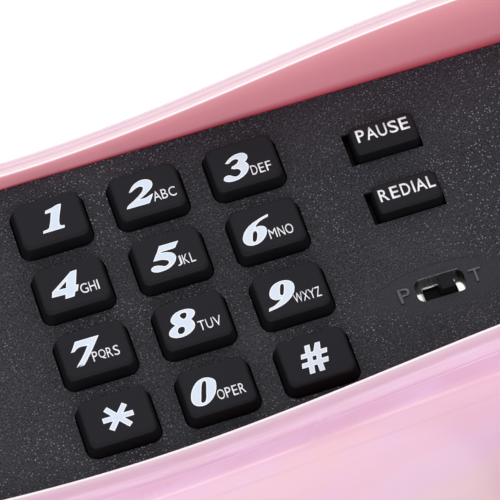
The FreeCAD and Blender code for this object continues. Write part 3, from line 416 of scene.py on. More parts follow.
def makeShellFinish():
    t = Finish("pearlPink", pearlCoat, *shellLook["marks"])
    uv = t.add("ShaderNodeUVMap", uv_map="shellMap")["UV"]
    up, across = t.split(uv)["Y"], t.split(t.place())["Y"]
    sides = {1: t.span(across, -mm, mm), -1: t.span(across, mm, -mm)}
    zone, outer = t.over(up, shellLook["zoneEnd"]), t.below(up, shellLook["inside"])
    # the near side's rim takes the darker copy of the rim's tones, painted shade
    nearRimShadeShare = t.times(t.times(t.span(up, *shellLook["rimStart"]), sides[-1]), outer)
    tone = t.blend(nearRimShadeShare, t.ramp(zone, shellLook["zones"]), t.ramp(zone, shellLook["nearRimShade"]))
    slanting = t.group(bands, Start=25.0, Half=22.0, Wander=2.5)["Colour"]
    tone = t.blend(t.times(t.span(up, *shellLook["bandStart"]), outer), tone, slanting)
    # broad lilac patches along the rim, and fine streaks that follow it, painted reflections
    patch = t.noise(t.mapped(uv, Scale=(3.2, 2.6, 1.0)), 3.0, 1.5, Distortion=0.6)
    streaks = t.noise(t.mapped(uv, Scale=(5.0, 30.0, 1.0)), 1.0, Distortion=0.3)
    outside = t.times(t.span(up, 1.2, 1.6), outer)
    lilacShare = t.times(t.span(patch, 0.45, 0.72, 0.0, 0.4), outside)
    streakShare = t.times(t.span(streaks, 0.55, 0.78, 0.0, 0.28), t.times(outside, t.span(up, 2.5, 2.1)))
    tone = t.blend(lilacShare, tone, shellLook["lilac"])
    tone = t.blend(streakShare, tone, shellLook["streak"])
    # the painted reflection lines wander a little and come and go along the rim, and the painted highlights on the
    # edges don't
    wander = t.plus(up, t.span(t.noise(uv, 1.6, 0.0), 0.3, 0.7, -0.012, 0.012))
    presence = t.span(patch, 0.3, 0.6, 0.3, 1.0)
    for run, lines, there in ((wander, shellLook["lines"], presence), (up, shellLook["edges"], 1.0)):
        for middle, half, strength, colour, side in lines:
            share = t.times(t.span(t.magnitude(t.minus(run, middle)), half * 0.4, half, strength, 0.0), there)
            tone = t.blend(t.times(share, sides[side]), tone, colour)
    return t.end(tone, t.marks["Height"], 0.03, 0.5)


# the handset's pearl: the same bands without the housing's map, and a deeper pink in its low places
handsetLook = {"deep": (0.80, 0.36, 0.46), "lilac": (0.72, 0.50, 0.70), "marks": (22.0, 0.16, 0.28)}


def makeHandsetFinish():
    t = Finish("pearlHandset", pearlCoat, *handsetLook["marks"])
    tone = t.group(bands, Start=12.0, Half=24.0, Wander=5.0)["Colour"]
    tone = t.blend(t.span(t.marks["Shade"], 0.5, 1.0, 0.0, 0.35), tone, handsetLook["lilac"])
    tone = t.blend(t.span(t.split(t.place())["Z"], 0.004, 0.0, 0.0, 0.5), tone, handsetLook["deep"])
    return t.end(tone, t.marks["Height"], 0.03, 0.5)


# sanded black plate: grain with bright points, a smoother oval round the switch, painted shade down the holes' walls
# and a painted highlight along the slot's far edge
plateLook = {
    "dark": (0.006, 0.0065, 0.009), "light": (0.055, 0.056, 0.069), "holeShade": (0.002, 0.002, 0.0025),
    "sparkle": (0.36, 0.36, 0.39), "ovalCentre": (56.9, -11.6, 30.0), "ovalHalf": (10.4, 3.9),
    "slotHighlight": (0.16, 0.16, 0.17), "slotHalf": (3.2, 1.94), "slotHighlightWidth": 0.13, "holeShadeDepth": (29.9, 29.5),
    "marks": (20.0, 0.5, 0.66),
}


def makePlateFinish():
    look = plateLook
    t = Finish("sandedBlack", {"Base Color": (0.035, 0.035, 0.045, 1), "Roughness": 0.6, "Specular IOR Level": 0.2},
               *look["marks"])
    place = t.place()
    centre = t.mapped(place, Location=[-v * mm for v in look["ovalCentre"]])
    oval = t.mapped(centre, Scale=[*(1 / v / mm for v in look["ovalHalf"]), 0])
    reach = t.add("ShaderNodeVectorMath", {0: oval}, operation="LENGTH")["Value"]
    sanded = t.span(reach, 0.75, 1.3, 0.12, 1.0)
    edge = t.times(t.span(reach, 0.94, 0.985), t.span(reach, 1.03, 0.985))
    edge = t.times(edge, t.span(t.split(oval)["Y"], 0.2, 0.8))
    texture = t.group(grain, Grain=0.27, Points=0.42, Share=0.62)
    fineTexture = t.group(grain, Grain=0.25, Points=0.8, Share=0.05)
    coarse = t.blend(t.span(texture["Mottle"], 0.36, 0.66), look["dark"], look["light"])
    calm = t.blend(t.span(fineTexture["Mottle"], 0.3, 0.7, 0.35, 0.65), look["dark"], look["light"])
    bright = t.times(t.times(texture["Sparkle"], sanded), t.span(t.marks["Shade"], 0.3, 0.7, 0.35, 1.3))
    # a painted highlight: a bright line along the slot's far edge, broken up by the grain
    offMiddle = t.split(centre)
    wideX, farY, line = (v * mm for v in (*look["slotHalf"], look["slotHighlightWidth"]))
    wornAndLit = t.times(t.span(t.magnitude(offMiddle["X"]), wideX, wideX * 0.93),
                   t.span(t.magnitude(t.minus(offMiddle["Y"], farY)), line, line * 0.5))
    wornAndLit = t.times(wornAndLit, t.span(texture["Mottle"], 0.42, 0.56, 0.25, 1.0))
    # the holes' walls below the plate's top are painted dark, painted shade
    holeShade = t.span(t.split(place)["Z"], *(v * mm for v in look["holeShadeDepth"]))
    tone = t.blend(sanded, calm, coarse)
    for share, colour in ((t.times(bright, 0.7), "sparkle"), (t.times(edge, 0.5), "dark"), (holeShade, "holeShade"),
                          (wornAndLit, "slotHighlight")):
        tone = t.blend(share, tone, look[colour])
    return t.end(tone, t.times(texture["Height"], sanded), 0.16, 0.8)


# soft matte key: the cap's own attribute says how far up its profile a point lies, 0 below the plate and 1 on top; the
# top is painted lighter and the sides darker as light and shade, darkest below the plate as painted shade
keyLook = {"below": (0.0015, 0.0015, 0.002), "side": (0.0035, 0.0034, 0.0045), "top": (0.0115, 0.0112, 0.0155),
           "wornAndLit": (0.0092, 0.0088, 0.0122), "marks": (7.0, 0.5, 0.64)}


def makeKeyFinish():
    t = Finish("softBlack", {"Base Color": (0.015, 0.014, 0.018, 1), "Specular IOR Level": 0.16}, *keyLook["marks"])
    height = t.add("ShaderNodeAttribute", attribute_name="profile")["Fac"]
    top = t.blend(t.marks["Shade"], keyLook["wornAndLit"], keyLook["top"])
    # dark below the plate and up the sides as painted shade, lighter on top as painted light
    tone = t.blend(t.span(height, 0.0, 0.3), keyLook["below"], keyLook["side"])
    tone = t.blend(t.span(height, 0.45, 0.95), tone, top)
    return t.end(tone, t.group(grain, Grain=0.2, Points=1.0, Share=0.0)["Height"], 0.012)


# raised letters beside the switch: rubbed tops with bright points, and sides painted dark as shade
raisedLook = {"top": (0.075, 0.075, 0.085), "rubbed": (0.14, 0.14, 0.155), "side": (0.004, 0.004, 0.005),
              "from": 30.14, "to": 30.2, "marks": (5.0, 0.45, 0.6)}


def makeRaisedFinish():
    look = raisedLook
    t = Finish("raisedBlack", {"Base Color": (0.07, 0.07, 0.08, 1), "Specular IOR Level": 0.25}, *look["marks"])
    texture = t.group(grain, Grain=0.3, Points=0.5, Share=0.5)
    top = t.blend(t.span(texture["Mottle"], 0.38, 0.62), look["top"], look["rubbed"])
    # below the letters' top the sides are painted dark, painted shade
    above = t.span(t.split(t.place())["Z"], look["from"] * mm, look["to"] * mm)
    return t.end(t.blend(above, look["side"], top), texture["Height"], 0.05)


pearlPink = makeShellFinish()
pearlHandset = makeHandsetFinish()
raisedBlack = makeRaisedFinish()
sandedBlack = makePlateFinish()
softBlack = makeKeyFinish()
leverBlack = plainFinish("leverBlack", (0.009, 0.0085, 0.011), (0.005, 0.005, 0.0065), (0.5, 0.65), 0.2, 0.012,
                         Specular_IOR_Level=0.15)
mirrorSteel = plainFinish("brightSteel", (0.80, 0.80, 0.78), (0.62, 0.62, 0.60), (0.08, 0.18), 0.6, 0.006,
                          Metallic=1.0)
printWhite = plainFinish("printWhite", (0.93, 0.94, 0.96), (0.88, 0.89, 0.92), (0.45, 0.6), 0.2, 0.004)
printPale = plainFinish("printPale", (0.70, 0.78, 0.88), (0.64, 0.73, 0.85), (0.45, 0.6), 0.2, 0.004)
paleMoulding = plainFinish("paleMoulding", (0.80, 0.45, 0.54), (0.74, 0.39, 0.48), (0.42, 0.58), 0.5, 0.05)
rubber = plainFinish("rubber", (0.045, 0.045, 0.048), (0.028, 0.028, 0.03), (0.65, 0.85), 0.5, 0.05)
blackMoulding = plainFinish("blackMoulding", (0.03, 0.03, 0.034), (0.018, 0.018, 0.021), (0.35, 0.52), 0.35, 0.03)
steel = plainFinish("platedSteel", (0.74, 0.74, 0.72), (0.58, 0.58, 0.57), (0.18, 0.36), 0.6, 0.02, Metallic=1.0)
gold = plainFinish("goldWire", (0.90, 0.66, 0.28), (0.78, 0.54, 0.2), (0.2, 0.32), 0.4, 0.01, Metallic=1.0)
board = plainFinish("circuitBoard", (0.05, 0.2, 0.09), (0.03, 0.15, 0.06), (0.3, 0.45), 0.3, 0.02)
print("stage: finishes")


# housing: one closed profile swept round the trough

housing = {
    "troughLength": 206, "troughWidth": 52, "corner": 18, "plateTop": 30, "plateUnder": 28, "ledgeUnder": 26,
    "rimLow": 3.4, "rimRise": 11, "waveEnd": 82, "nearShift": 4, "draft": 0.03, "nearSpread": 0.6,
    "innerRound": 0.5, "shoulder": 3.2, "flareSide": 16.2, "flareCrest": 3, "flareEnd": 11.2, "flareCurve": 1.35,
    "foot": 2, "wall": 2.2, "ledgeSide": 2.5, "ledgeEnd": 7, "footRound": 0.3,
    "cornerSteps": 16, "sideSteps": 84, "endSteps": 6, "wallSteps": 8, "roundSteps": 6, "shoulderSteps": 18,
    "flankSteps": 30, "flankPack": 1.2, "insideSteps": 8,
}


def rimWave(x, ny):
    # the near side's low point lies a little to the right
    way = abs(x - housing["nearShift"] * max(-ny, 0.0)) / housing["waveEnd"]
    return (1 - math.cos(math.pi * min(way, 1.0))) / 2


def housingStations():
    # places round the trough with their outward direction, and how far each is from the right end
    r, ends, bends, sides = (housing[k] for k in ("corner", "endSteps", "cornerSteps", "sideSteps"))
    x, y = housing["troughLength"] / 2 - r, housing["troughWidth"] / 2 - r

    def arc(middle, share):
        turn = share * math.pi / 2
        return middle + r * math.cos(turn), y + r * math.sin(turn), math.cos(turn), math.sin(turn)

    half = [(x + r, y * k / ends, 1.0, 0.0) for k in range(ends)]
    half += [arc(x, k / bends) for k in range(bends)]
    half += [(x - 2 * x * k / sides, y + r, 0.0, 1.0) for k in range(sides + 1)]
    half += [arc(-x, 1 + k / bends) for k in range(1, bends + 1)]
    half += [(-x - r, y * (1 - k / ends), -1.0, 0.0) for k in range(1, ends + 1)]
    far = [0.0]
    for (ax, ay, *_), (bx, by, *_) in zip(half, half[1:]):
        far.append(far[-1] + math.hypot(bx - ax, by - ay))
    stations = [(*place, run) for place, run in zip(half, far)]
    return stations + [(px, -py, nx, -ny, run) for px, py, nx, ny, run in reversed(stations[1:-1])]


def shares(count, first=1):
    return [k / count for k in range(first, count + 1)]


def housingProfile(x, nx, ny):
    # (distance out from the trough's foot, height, zone) round the wall's section
    h = housing
    plate, foot, wall, r, big = (h[k] for k in ("plateTop", "foot", "wall", "innerRound", "shoulder"))
    wave = rimWave(x, ny)
    top = plate + h["rimLow"] + h["rimRise"] * wave
    fall = top - foot
    spread = h["draft"] * (top - plate) + h["nearSpread"] * max(-ny, 0.0) ** 2
    reach = h["flareEnd"] * nx * nx + (h["flareSide"] + h["flareCrest"] * wave) * ny * ny
    flare = reach - spread
    for _ in range(6):  # the shoulder's arc ends where the flank starts
        dip = math.atan2(fall, flare * h["flareCurve"])
        back = big * math.tan(dip / 2)
        flare = reach - spread - r - back
    edge = reach - flare

    def flank(share):
        return edge + flare * (1 - (1 - share) ** h["flareCurve"])

    section = [(0.0, h["plateUnder"], -0.1)]
    section += [(spread * s, plate + (top - r - plate) * s, 0.95 * s) for s in shares(h["wallSteps"], 0)]
    for s in shares(h["roundSteps"]):
        turn = s * math.pi / 2
        section.append((spread + r - r * math.cos(turn), top - r + r * math.sin(turn), 0.95 + 0.2 * s))
    for s in shares(h["shoulderSteps"]):
        section.append((spread + r + big * math.sin(dip * s), top - big + big * math.cos(dip * s), 1.15 + 0.85 * s))
    start = back * math.sin(dip) / fall
    for s in shares(h["flankSteps"]):
        share = start + (1 - start) * s ** h["flankPack"]
        section.append((flank(share), top - share * fall + (h["footRound"] if s == 1 else 0.0), 2 + share))
    out = flank(1.0)
    section += [(out - h["footRound"], foot, 3.05), (out - wall, foot, 3.2)]
    for s in shares(h["insideSteps"]):
        z = foot + (h["ledgeUnder"] - foot) * s
        section.append((flank((top - z) / fall) - wall, z, 3.2 + 0.4 * s))
    ledge = h["ledgeEnd"] * nx * nx + h["ledgeSide"] * ny * ny
    return section + [(-ledge, h["ledgeUnder"], 3.8), (-ledge, h["plateUnder"], 3.9)]


def ringFaces(count, rings, steps):
    # quads between neighbouring rings; with as many steps as rings the last ring meets the first
    return [(k * count + j, k * count + (j + 1) % count, (k + 1) % rings * count + (j + 1) % count,
             (k + 1) % rings * count + j) for k in range(steps) for j in range(count)]


def makeHousing():
    stations = housingStations()
    points, marks = [], []
    for x, y, nx, ny, run in stations:
        for out, z, zone in housingProfile(x, nx, ny):
            points.append((x + nx * out, y + ny * out, z))
            marks.append((run / 100, zone))
    count, around = len(points) // len(stations), len(stations)
    mesh = rawMesh("housing", points, [(a, d, c, b) for a, b, c, d in ringFaces(count, around, around)])
    layer = mesh.uv_layers.new(name="shellMap")
    for face in mesh.polygons:
        closing = {v % count for v in face.vertices} == {0, count - 1}
        for corner in face.loop_indices:
            run, zone = marks[mesh.loops[corner].vertex_index]
            layer.data[corner].uv = (run, 3.9 if closing else zone)
    dress(mesh, pearlPink)
    tidyMesh(mesh, 30, join=0)
    return linkObject("housing", mesh)


# openings for the jacks; the faces of a cut take the flank's colour
jackOpening = {"gap": 0.15, "reach": 8, "map": (0.0, 2.6)}


def cutBoxes(obj, boxes):
    # cuts upright boxes, given by two corners each, out of a piece
    for k, (low, high) in enumerate(boxes):
        points = [(x, y, z) for x in (low[0], high[0]) for y in (low[1], high[1]) for z in (low[2], high[2])]
        faces = [(0, 1, 3, 2), (4, 6, 7, 5), (0, 4, 5, 1), (2, 3, 7, 6), (0, 2, 6, 4), (1, 5, 7, 3)]
        tool = meshPiece(f"cutter{k}", points, faces, list(obj.data.materials))
        for corner in tool.data.uv_layers.new(name="shellMap").data:
            corner.uv = jackOpening["map"]
        modifier = obj.modifiers.new("cut", "BOOLEAN")
        modifier.operation, modifier.object, modifier.solver = "DIFFERENCE", tool, "EXACT"
        applyModifiers(obj)
        bpy.data.objects.remove(tool)
    obj.data.set_sharp_from_angle(angle=math.radians(30))


def makeHousingWithJacks():
    shell = makeHousing()
    gap, reach = jackOpening["gap"], jackOpening["reach"]
    low, high = nodeBox("line_jack")
    line = ((low.x - gap, low.y, low.z - gap), (high.x + gap, high.y + reach, high.z + gap))
    low, high = nodeBox("handset_jack")
    cord = ((low.x - reach, low.y - gap, low.z - gap), (high.x, high.y + gap, high.z + gap))
    cutBoxes(shell, [line, cord])
    seat(shell, "base", "pink_shell", "base_shell")


makeHousingWithJacks()
print("stage: housing")


# keys: soft caps lofted from rounded rectangles

keyCap = {"stemTop": 30.0, "flangeOver": 0.8, "flangeTop": 27.7, "flangeCorner": 0.1, "arcSteps": 7, "cornerSteps": 6,
          "crown": 0.05}
digitCap = {"top": 32.4, "round": 0.5, "slope": 11, "corner": 1.2, "topCorner": 1.35}
wideCap = {"top": 32.1, "round": 0.45, "slope": 4, "corner": 0.9, "topCorner": 1.2}


def roundedRing(cx, cy, halfX, halfY, radius, z, steps):
    radius = max(min(radius, halfX - 0.01, halfY - 0.01), 0.02)
    ring = []
    for quarter, (sx, sy) in enumerate(((1, 1), (-1, 1), (-1, -1), (1, -1))):
        for share in shares(steps, 0):
            turn = (quarter + share) * math.pi / 2
            ring.append((cx + sx * (halfX - radius) + radius * math.cos(turn),
                         cy + sy * (halfY - radius) + radius * math.sin(turn), z))
    return ring


def loftPiece(name, rings, profile, material, creaseAngle=50):
    count = len(rings[0])
    points = [p for ring in rings for p in ring]
    faces = ringFaces(count, len(rings), len(rings) - 1)
    faces += [tuple(reversed(range(count))), tuple(range(len(points) - count, len(points)))]
    mesh = rawMesh(name, points, faces)
    for index, item in enumerate(mesh.attributes.new("profile", "FLOAT", "POINT").data):
        item.value = profile[index // count]
    dress(mesh, material)
    tidyMesh(mesh, creaseAngle, join=0)
    return linkObject(name, mesh)


def capRings(cx, cy, halfX, halfY, cap):
    # straight stem, sloping side, rounded shoulder and a slightly crowned top, each with its place on the profile
    slope, corner, topCorner = math.radians(cap["slope"]), cap["corner"], cap["topCorner"]
    stem, crown = keyCap["stemTop"], keyCap["crown"]
    start = cap["top"] - crown - cap["round"] * (1 - math.sin(slope))
    rise = start - stem
    lean = rise * math.tan(slope)
    levels = [(0.0, keyCap["flangeTop"], corner, 0.0), (0.0, stem - 0.2, corner, 0.0), (0.0, stem, corner, 0.2)]
    levels += [(lean * k / 3, stem + rise * k / 3, corner, 0.2 + 0.1 * k) for k in (1, 2, 3)]
    for share in shares(keyCap["arcSteps"]):
        turn = slope + (math.pi / 2 - slope) * share
        levels.append((lean + cap["round"] * (math.cos(slope) - math.cos(turn)),
                       start + cap["round"] * (math.sin(turn) - math.sin(slope)),
                       corner + (topCorner - corner) * share, 0.5 + 0.4 * share))
    inset = levels[-1][0]
    levels += [(inset + 0.3, cap["top"] - crown * 0.85, topCorner, 1.0),
               (inset + 1.5, cap["top"], topCorner * 0.6, 1.0)]
    return [(roundedRing(cx, cy, halfX - inset, halfY - inset, radius, z, keyCap["cornerSteps"]), profile)
            for inset, z, radius, profile in levels]


def makeKeys():
    over = keyCap["flangeOver"]
    for name in [n for n in frame["nodes"] if n.startswith("key_")]:
        low, _, cx, cy, halfX, halfY = nodePlan(name)
        cap = wideCap if name in ("key_pause", "key_redial") else digitCap
        flange = [(roundedRing(cx, cy, halfX, halfY, keyCap["flangeCorner"], z, keyCap["cornerSteps"]), 0.0)
                  for z in (low.z, keyCap["flangeTop"])]
        rings, profile = zip(*flange, *capRings(cx, cy, halfX - over, halfY - over, cap))
        seat(loftPiece(name.replace("key", "keyCap"), rings, profile, softBlack), name + "_body", "black_key", name)


makeKeys()
print("stage: keys")


# printed legends: numerals drawn as outlines about the middle of their key, in hundredths of a millimetre;
# c marks a corner and / a new outline

numeralShapes = {
    "1": """22,170c 110,185 230,220 276,214c 162,-110 172,-145 228,-160c 215,-200c -115,-200c -100,-160c -15,-142
        8,-110 95,120c 5,120c""",
    "2": """-215,55c -150,135 -80,185 20,210 100,195 150,155 162,110 140,50 85,0 0,-55 -100,-105c 0,-108 70,-85
        120,-70c 100,-110 35,-205c 20,-215c -325,-210c -300,-170 -190,-105 -75,-30 -10,30 8,75 -5,100 -40,110 -100,98
        -175,60""",
    "3": """-215,65c -150,115 -90,150 10,172 90,160 130,120 138,85 115,35 75,2c 100,-35 108,-80 80,-150 20,-210
        -60,-250 -160,-268 -260,-255 -312,-215 -305,-175 -260,-150 -210,-155 -160,-190 -120,-205 -65,-185 -32,-135
        -60,-85 -110,-70 -155,-50c -135,-20c -60,5 -20,40 -12,70 -40,90 -85,90 -130,70 -170,50""",
    "4": """85,208c 178,212c 98,-33c 138,-40c 98,-138c 56,-142c 28,-212c -112,-215c -90,-140c -295,-132c -265,-42c
        -190,10 / -168,-33c -20,72c -52,-40c""",
    "5": """-60,190c 235,188c 195,140 160,95 130,85c -70,85c -65,72c 30,50 95,15 125,-40 115,-100 70,-160 -20,-215
        -130,-235 -240,-220 -285,-175 -270,-140 -230,-120 -190,-120 -130,-140 -80,-165 -40,-160 2,-120 -2,-90 -30,-70
        -90,-45 -160,-38 -215,-35c -190,0 -120,95""",
    "6": """120,185c 20,165 -70,135 -170,95 -260,35 -330,-50 -360,-140 -340,-205 -290,-245 -220,-260 -120,-240
        -40,-185 10,-115 25,-50 10,-5 -30,20 -80,30 -125,20c -100,55 -50,95 20,125 110,147c / -155,-32 -130,-42
        -125,-70 -150,-150 -175,-195 -205,-210 -225,-195 -220,-160 -200,-95 -175,-45""",
    "7": """-185,212c 175,210c 10,-5 -60,-90 -120,-160 -160,-205c -275,-205c -250,-175 -160,-80 -80,20 -25,98c -60,100
        -130,108 -190,90 -235,55c -290,55c -260,95""",
    "8": """-40,208 50,192 105,150 110,105 70,50 25,20c 55,-50 40,-120 -20,-180 -100,-215 -200,-225 -300,-200
        -350,-150 -340,-95 -290,-45 -220,-10c -255,30 -268,75 -240,130 -180,180 -100,205 / -65,158 -15,145 -15,110
        -50,62 -70,55 -100,80 -115,115 -95,150 / -150,-58 -110,-75 -110,-120 -140,-165 -180,-175 -215,-155 -215,-110
        -190,-70""",
    "9": """-30,195 50,175 100,130 115,70 95,-10 50,-80 -20,-140 -100,-185 -220,-220 -365,-240c -345,-195c -250,-170
        -180,-130 -135,-95c -180,-95 -240,-70 -275,-20 -270,40 -240,100 -180,160 -100,190 / -50,145 -30,135 -30,100
        -60,10 -80,-30 -100,-40 -120,-30 -120,0 -100,70 -75,130""",
    "0": """-85,188 0,160 50,105 50,30 20,-60 -30,-140 -110,-210 -200,-245 -280,-235 -340,-195 -365,-130 -350,-40
        -300,60 -220,145 -150,180 / -100,140 -80,125 -85,80 -120,-40 -160,-160 -190,-195 -220,-200 -235,-180 -220,-120
        -180,10 -150,90 -125,130""",
    "pound": """-60,210c 20,210c 0,85c 40,85c 100,210c 175,210c 150,85c 245,85c 225,10c 135,10c 120,-60c 220,-60c
        200,-140c 110,-140c 110,-260c 30,-260c 30,-140c -20,-140c -40,-260c -120,-260c -100,-140c -200,-140c -180,-60c
        -90,-60c -75,10c -170,10c -150,85c -80,85c / 0,10c 60,10c 45,-60c -10,-60c""",
}
legend = {"shift": -0.5, "printTop": 0.035, "fillTop": 0.05, "fillInset": 0.16, "sink": 0.1,
          "star": ((0.6, -0.15), 2.3, 0.42, (0, 51, -51))}


def readOutlines(text):
    outlines = []
    for part in text.split("/"):
        words = [word.split(",") for word in part.split()]
        outlines.append([(int(x) / 100, int(y.rstrip("c")) / 100, y.endswith("c")) for x, y in words])
    return outlines


def starOutline():
    # six bars round one middle, as one closed outline
    (cx, cy), reach, half, turns = legend["star"]
    points, turns = [], sorted(math.radians(t + extra) for t in turns for extra in (0, 180))
    for k, turn in enumerate(turns):
        onward = turns[(k + 1) % 6] + (2 * math.pi if k == 5 else 0)
        along, side = (math.cos(turn), math.sin(turn)), (-math.sin(turn), math.cos(turn))
        points += [(cx + along[0] * reach + sign * side[0] * half, cy + along[1] * reach + sign * side[1] * half, True)
                   for sign in (-1, 1)]
        middle, opening = (turn + onward) / 2, (onward - turn) / 2
        inner = half / math.sin(opening)
        points.append((cx + math.cos(middle) * inner, cy + math.sin(middle) * inner, True))
    return points


def outlineMesh(name, outlines, inset, thickness):
    curve = bpy.data.curves.new(name, "CURVE")
    curve.dimensions, curve.fill_mode, curve.resolution_u = "2D", "BOTH", 5
    curve.extrude, curve.offset = thickness / 2, -inset
    for outline in outlines:
        spline = curve.splines.new("BEZIER")
        spline.bezier_points.add(len(outline) - 1)
        spline.use_cyclic_u = True
        for point, (x, y, corner) in zip(spline.bezier_points, outline):
            point.co = (x, y, 0)
            point.handle_left_type = point.handle_right_type = "VECTOR" if corner else "AUTO"
    return meshOfCurve(name, curve)


def byLetter(groups):
    return {letter: value for value, letters in groups.items() for letter in letters}


# widths of the printed letters in thousandths of their size, side margins counted in
letterWidths = byLetter({278: "I", 500: "J", 556: "L", 611: "FTZ", 667: "ABEKPSVXY", 722: "CDHNRU", 778: "GOQ",
                         833: "M", 944: "W"})
letterMargin = byLetter({5: "AVWXY", 25: "T", 30: "JZ", 45: "OQ", 50: "CGS"})
plainMargin, openEndMargin = 80, 40


def letterMesh(letter, thinner):
    text = bpy.data.curves.new("letter", "FONT")
    text.body, text.size, text.extrude, text.offset, text.resolution_u = letter, 1.0, 0.0, -thinner, 4
    return meshOfCurve("letter", text)


def fitted(mesh, low, high, z0, z1):
    # squeezes a flat mesh into a rectangle and gives it a thickness
    xs, ys = [v.co.x for v in mesh.vertices], [v.co.y for v in mesh.vertices]
    x0, y0, wide, tall = min(xs), min(ys), max(xs) - min(xs), max(ys) - min(ys)
    for v in mesh.vertices:
        v.co = (low[0] + (v.co.x - x0) / wide * (high[0] - low[0]),
                low[1] + (v.co.y - y0) / tall * (high[1] - low[1]), z0)
    with reworked(mesh) as work:
        bmesh.ops.remove_doubles(work, verts=work.verts, dist=1e-4)
        made = bmesh.ops.extrude_face_region(work, geom=work.faces[:])
        for v in (g for g in made["geom"] if isinstance(g, bmesh.types.BMVert)):
            v.co.z = z1
        bmesh.ops.recalc_face_normals(work, faces=work.faces)


def joinMeshes(name, parts):
    # parts are (mesh in millimetres, material); the result is one piece in metres
    made = bpy.data.meshes.new(name)
    materials = []
    with reworked(made) as work:
        for mesh, material in parts:
            start = len(work.faces)
            work.from_mesh(mesh)
            work.faces.ensure_lookup_table()
            if material not in materials:
                materials.append(material)
            for face in work.faces[start:]:
                face.material_index = materials.index(material)
            bpy.data.meshes.remove(mesh)
        bmesh.ops.scale(work, vec=(mm, mm, mm), verts=work.verts)
    for material in materials:
        made.materials.append(material)
    return linkObject(name, made)


def numeralParts(name, outlines, cx, cy):
    parts = []
    for inset, rise, material in ((0.0, legend["printTop"], printWhite),
                                  (legend["fillInset"], legend["fillTop"], printPale)):
        mesh = outlineMesh(name, outlines, inset, rise + legend["sink"])
        with reworked(mesh) as work:
            middle = (cx, cy, digitCap["top"] + (rise - legend["sink"]) / 2)
            bmesh.ops.translate(work, vec=middle, verts=work.verts)
            bmesh.ops.remove_doubles(work, verts=work.verts, dist=1e-4)
            bmesh.ops.recalc_face_normals(work, faces=work.faces)
        parts.append((mesh, material))
    return parts


def wordParts(words, low, high, rise, base, material, thinner=0.005):
    # letters of a word, each fitted between its margins, from the first one's left edge to the last one's right
    margins = [letterMargin.get(letter, plainMargin) for letter in words]
    run = [sum(letterWidths[letter] for letter in words[:k]) for k in range(len(words) + 1)]
    starts, ends = [a + m for a, m in zip(run, margins)], [b - m for b, m in zip(run[1:], margins)]
    if words[-1] in "EFL":
        ends[-1] += openEndMargin
    scale = (high[0] - low[0]) / (ends[-1] - starts[0])
    parts = []
    for letter, *sides in zip(words, starts, ends):
        left, right = (low[0] + (side - starts[0]) * scale for side in sides)
        mesh = letterMesh(letter, thinner)
        fitted(mesh, (left, low[1]), (right, high[1]), base - legend["sink"] / 2, base + rise)
        parts.append((mesh, material))
    return parts


# letters beside the numerals: first and last X, and the line they stand on, from the key's middle
keyLetters = {
    "2": ("ABC", 0.54, 4.06, -2.12), "3": ("DEF", 0.67, 3.79, -2.6), "4": ("GHI", 0.91, 3.69, -2.12),
    "5": ("JKL", 0.64, 3.41, -2.28), "6": ("MNO", -0.15, 3.5, -2.39), "7": ("PQRS", -0.6, 3.41, -1.97),
    "8": ("TUV", 0.45, 3.87, -2.16), "9": ("WXYZ", -0.1, 4.01, -2.35), "0": ("OPER", -0.35, 3.76, -2.31),
}
letterHeight = 1.65
sideWords = {"pause": ("PAUSE", (52.9, 14.6), (61.0, 16.75)), "redial": ("REDIAL", (52.8, 3.62), (61.35, 5.7))}
sideWordThinner = -0.008
switchLetters = {"P": ((50.4, -12.8), (52.2, -10.4)), "T": ((61.3, -12.8), (63.15, -10.55))}
switchLetterRise = 0.22


def makeLegends():
    for mark in [*numeralShapes, "star"]:
        _, _, cx, cy, *_ = nodePlan("key_" + mark)
        outlines = [starOutline()] if mark == "star" else readOutlines(numeralShapes[mark])
        parts = numeralParts("legend", outlines, cx + legend["shift"], cy)
        if mark in keyLetters:
            words, x0, x1, line = keyLetters[mark]
            parts += wordParts(words, (cx + x0, cy + line), (cx + x1, cy + line + letterHeight),
                               legend["printTop"], digitCap["top"], printWhite)
        seat(joinMeshes("legend_" + mark, parts), f"key_{mark}_body", "black_key")
    for mark, (words, low, high) in sideWords.items():
        parts = wordParts(words, low, high, legend["printTop"], wideCap["top"], printWhite, sideWordThinner)
        seat(joinMeshes("legend_" + mark, parts), f"key_{mark}_body", "black_key")
    for mark, (low, high) in switchLetters.items():
        parts = wordParts(mark, low, high, switchLetterRise, keyCap["stemTop"], raisedBlack, 0.0)
        seat(joinMeshes("switchLetter_" + mark, parts), "base", "black_plate")


makeLegends()
print("stage: legends")


# switch frame: a pressed can whose window edge rolls over a little

switchCan = {"sheet": 0.5, "window": (4.8, 2.56), "roll": 0.22, "rollDrop": 0.09, "corner": 0.5, "bend": 0.3,
             "steps": 5}


def makeSwitchFrame():
    low, high, cx, cy, halfX, halfY = nodePlan("switch_frame")
    c = switchCan
    sheet, bend, corner, roll, drop = (c[k] for k in ("sheet", "bend", "corner", "roll", "rollDrop"))
    winX, winY = (v / 2 for v in c["window"])
    # half sizes, corner radius and height round the can's wall, from its foot over the top and back inside
    levels = [(halfX, halfY, corner, low.z), (halfX, halfY, corner, high.z - bend),
              (halfX - bend * 0.3, halfY - bend * 0.3, corner, high.z - bend * 0.3),
              (halfX - bend, halfY - bend, corner, high.z), (winX + roll, winY + roll, 0.45, high.z),
              (winX + roll * 0.35, winY + roll * 0.35, 0.3, high.z - drop * 0.6),
              (winX, winY, 0.2, high.z - drop * 1.6), (winX, winY, 0.2, high.z - sheet),
              (halfX - sheet, halfY - sheet, 0.2, high.z - sheet), (halfX - sheet, halfY - sheet, 0.2, low.z)]
    points = [p for level in levels for p in roundedRing(cx, cy, *level, c["steps"])]
    count = len(points) // len(levels)
    faces = ringFaces(count, len(levels), len(levels))
    seat(meshPiece("switchCan", points, faces, [mirrorSteel], 40), "base", "steel", "switch_frame")


makeSwitchFrame()
print("stage: switch")


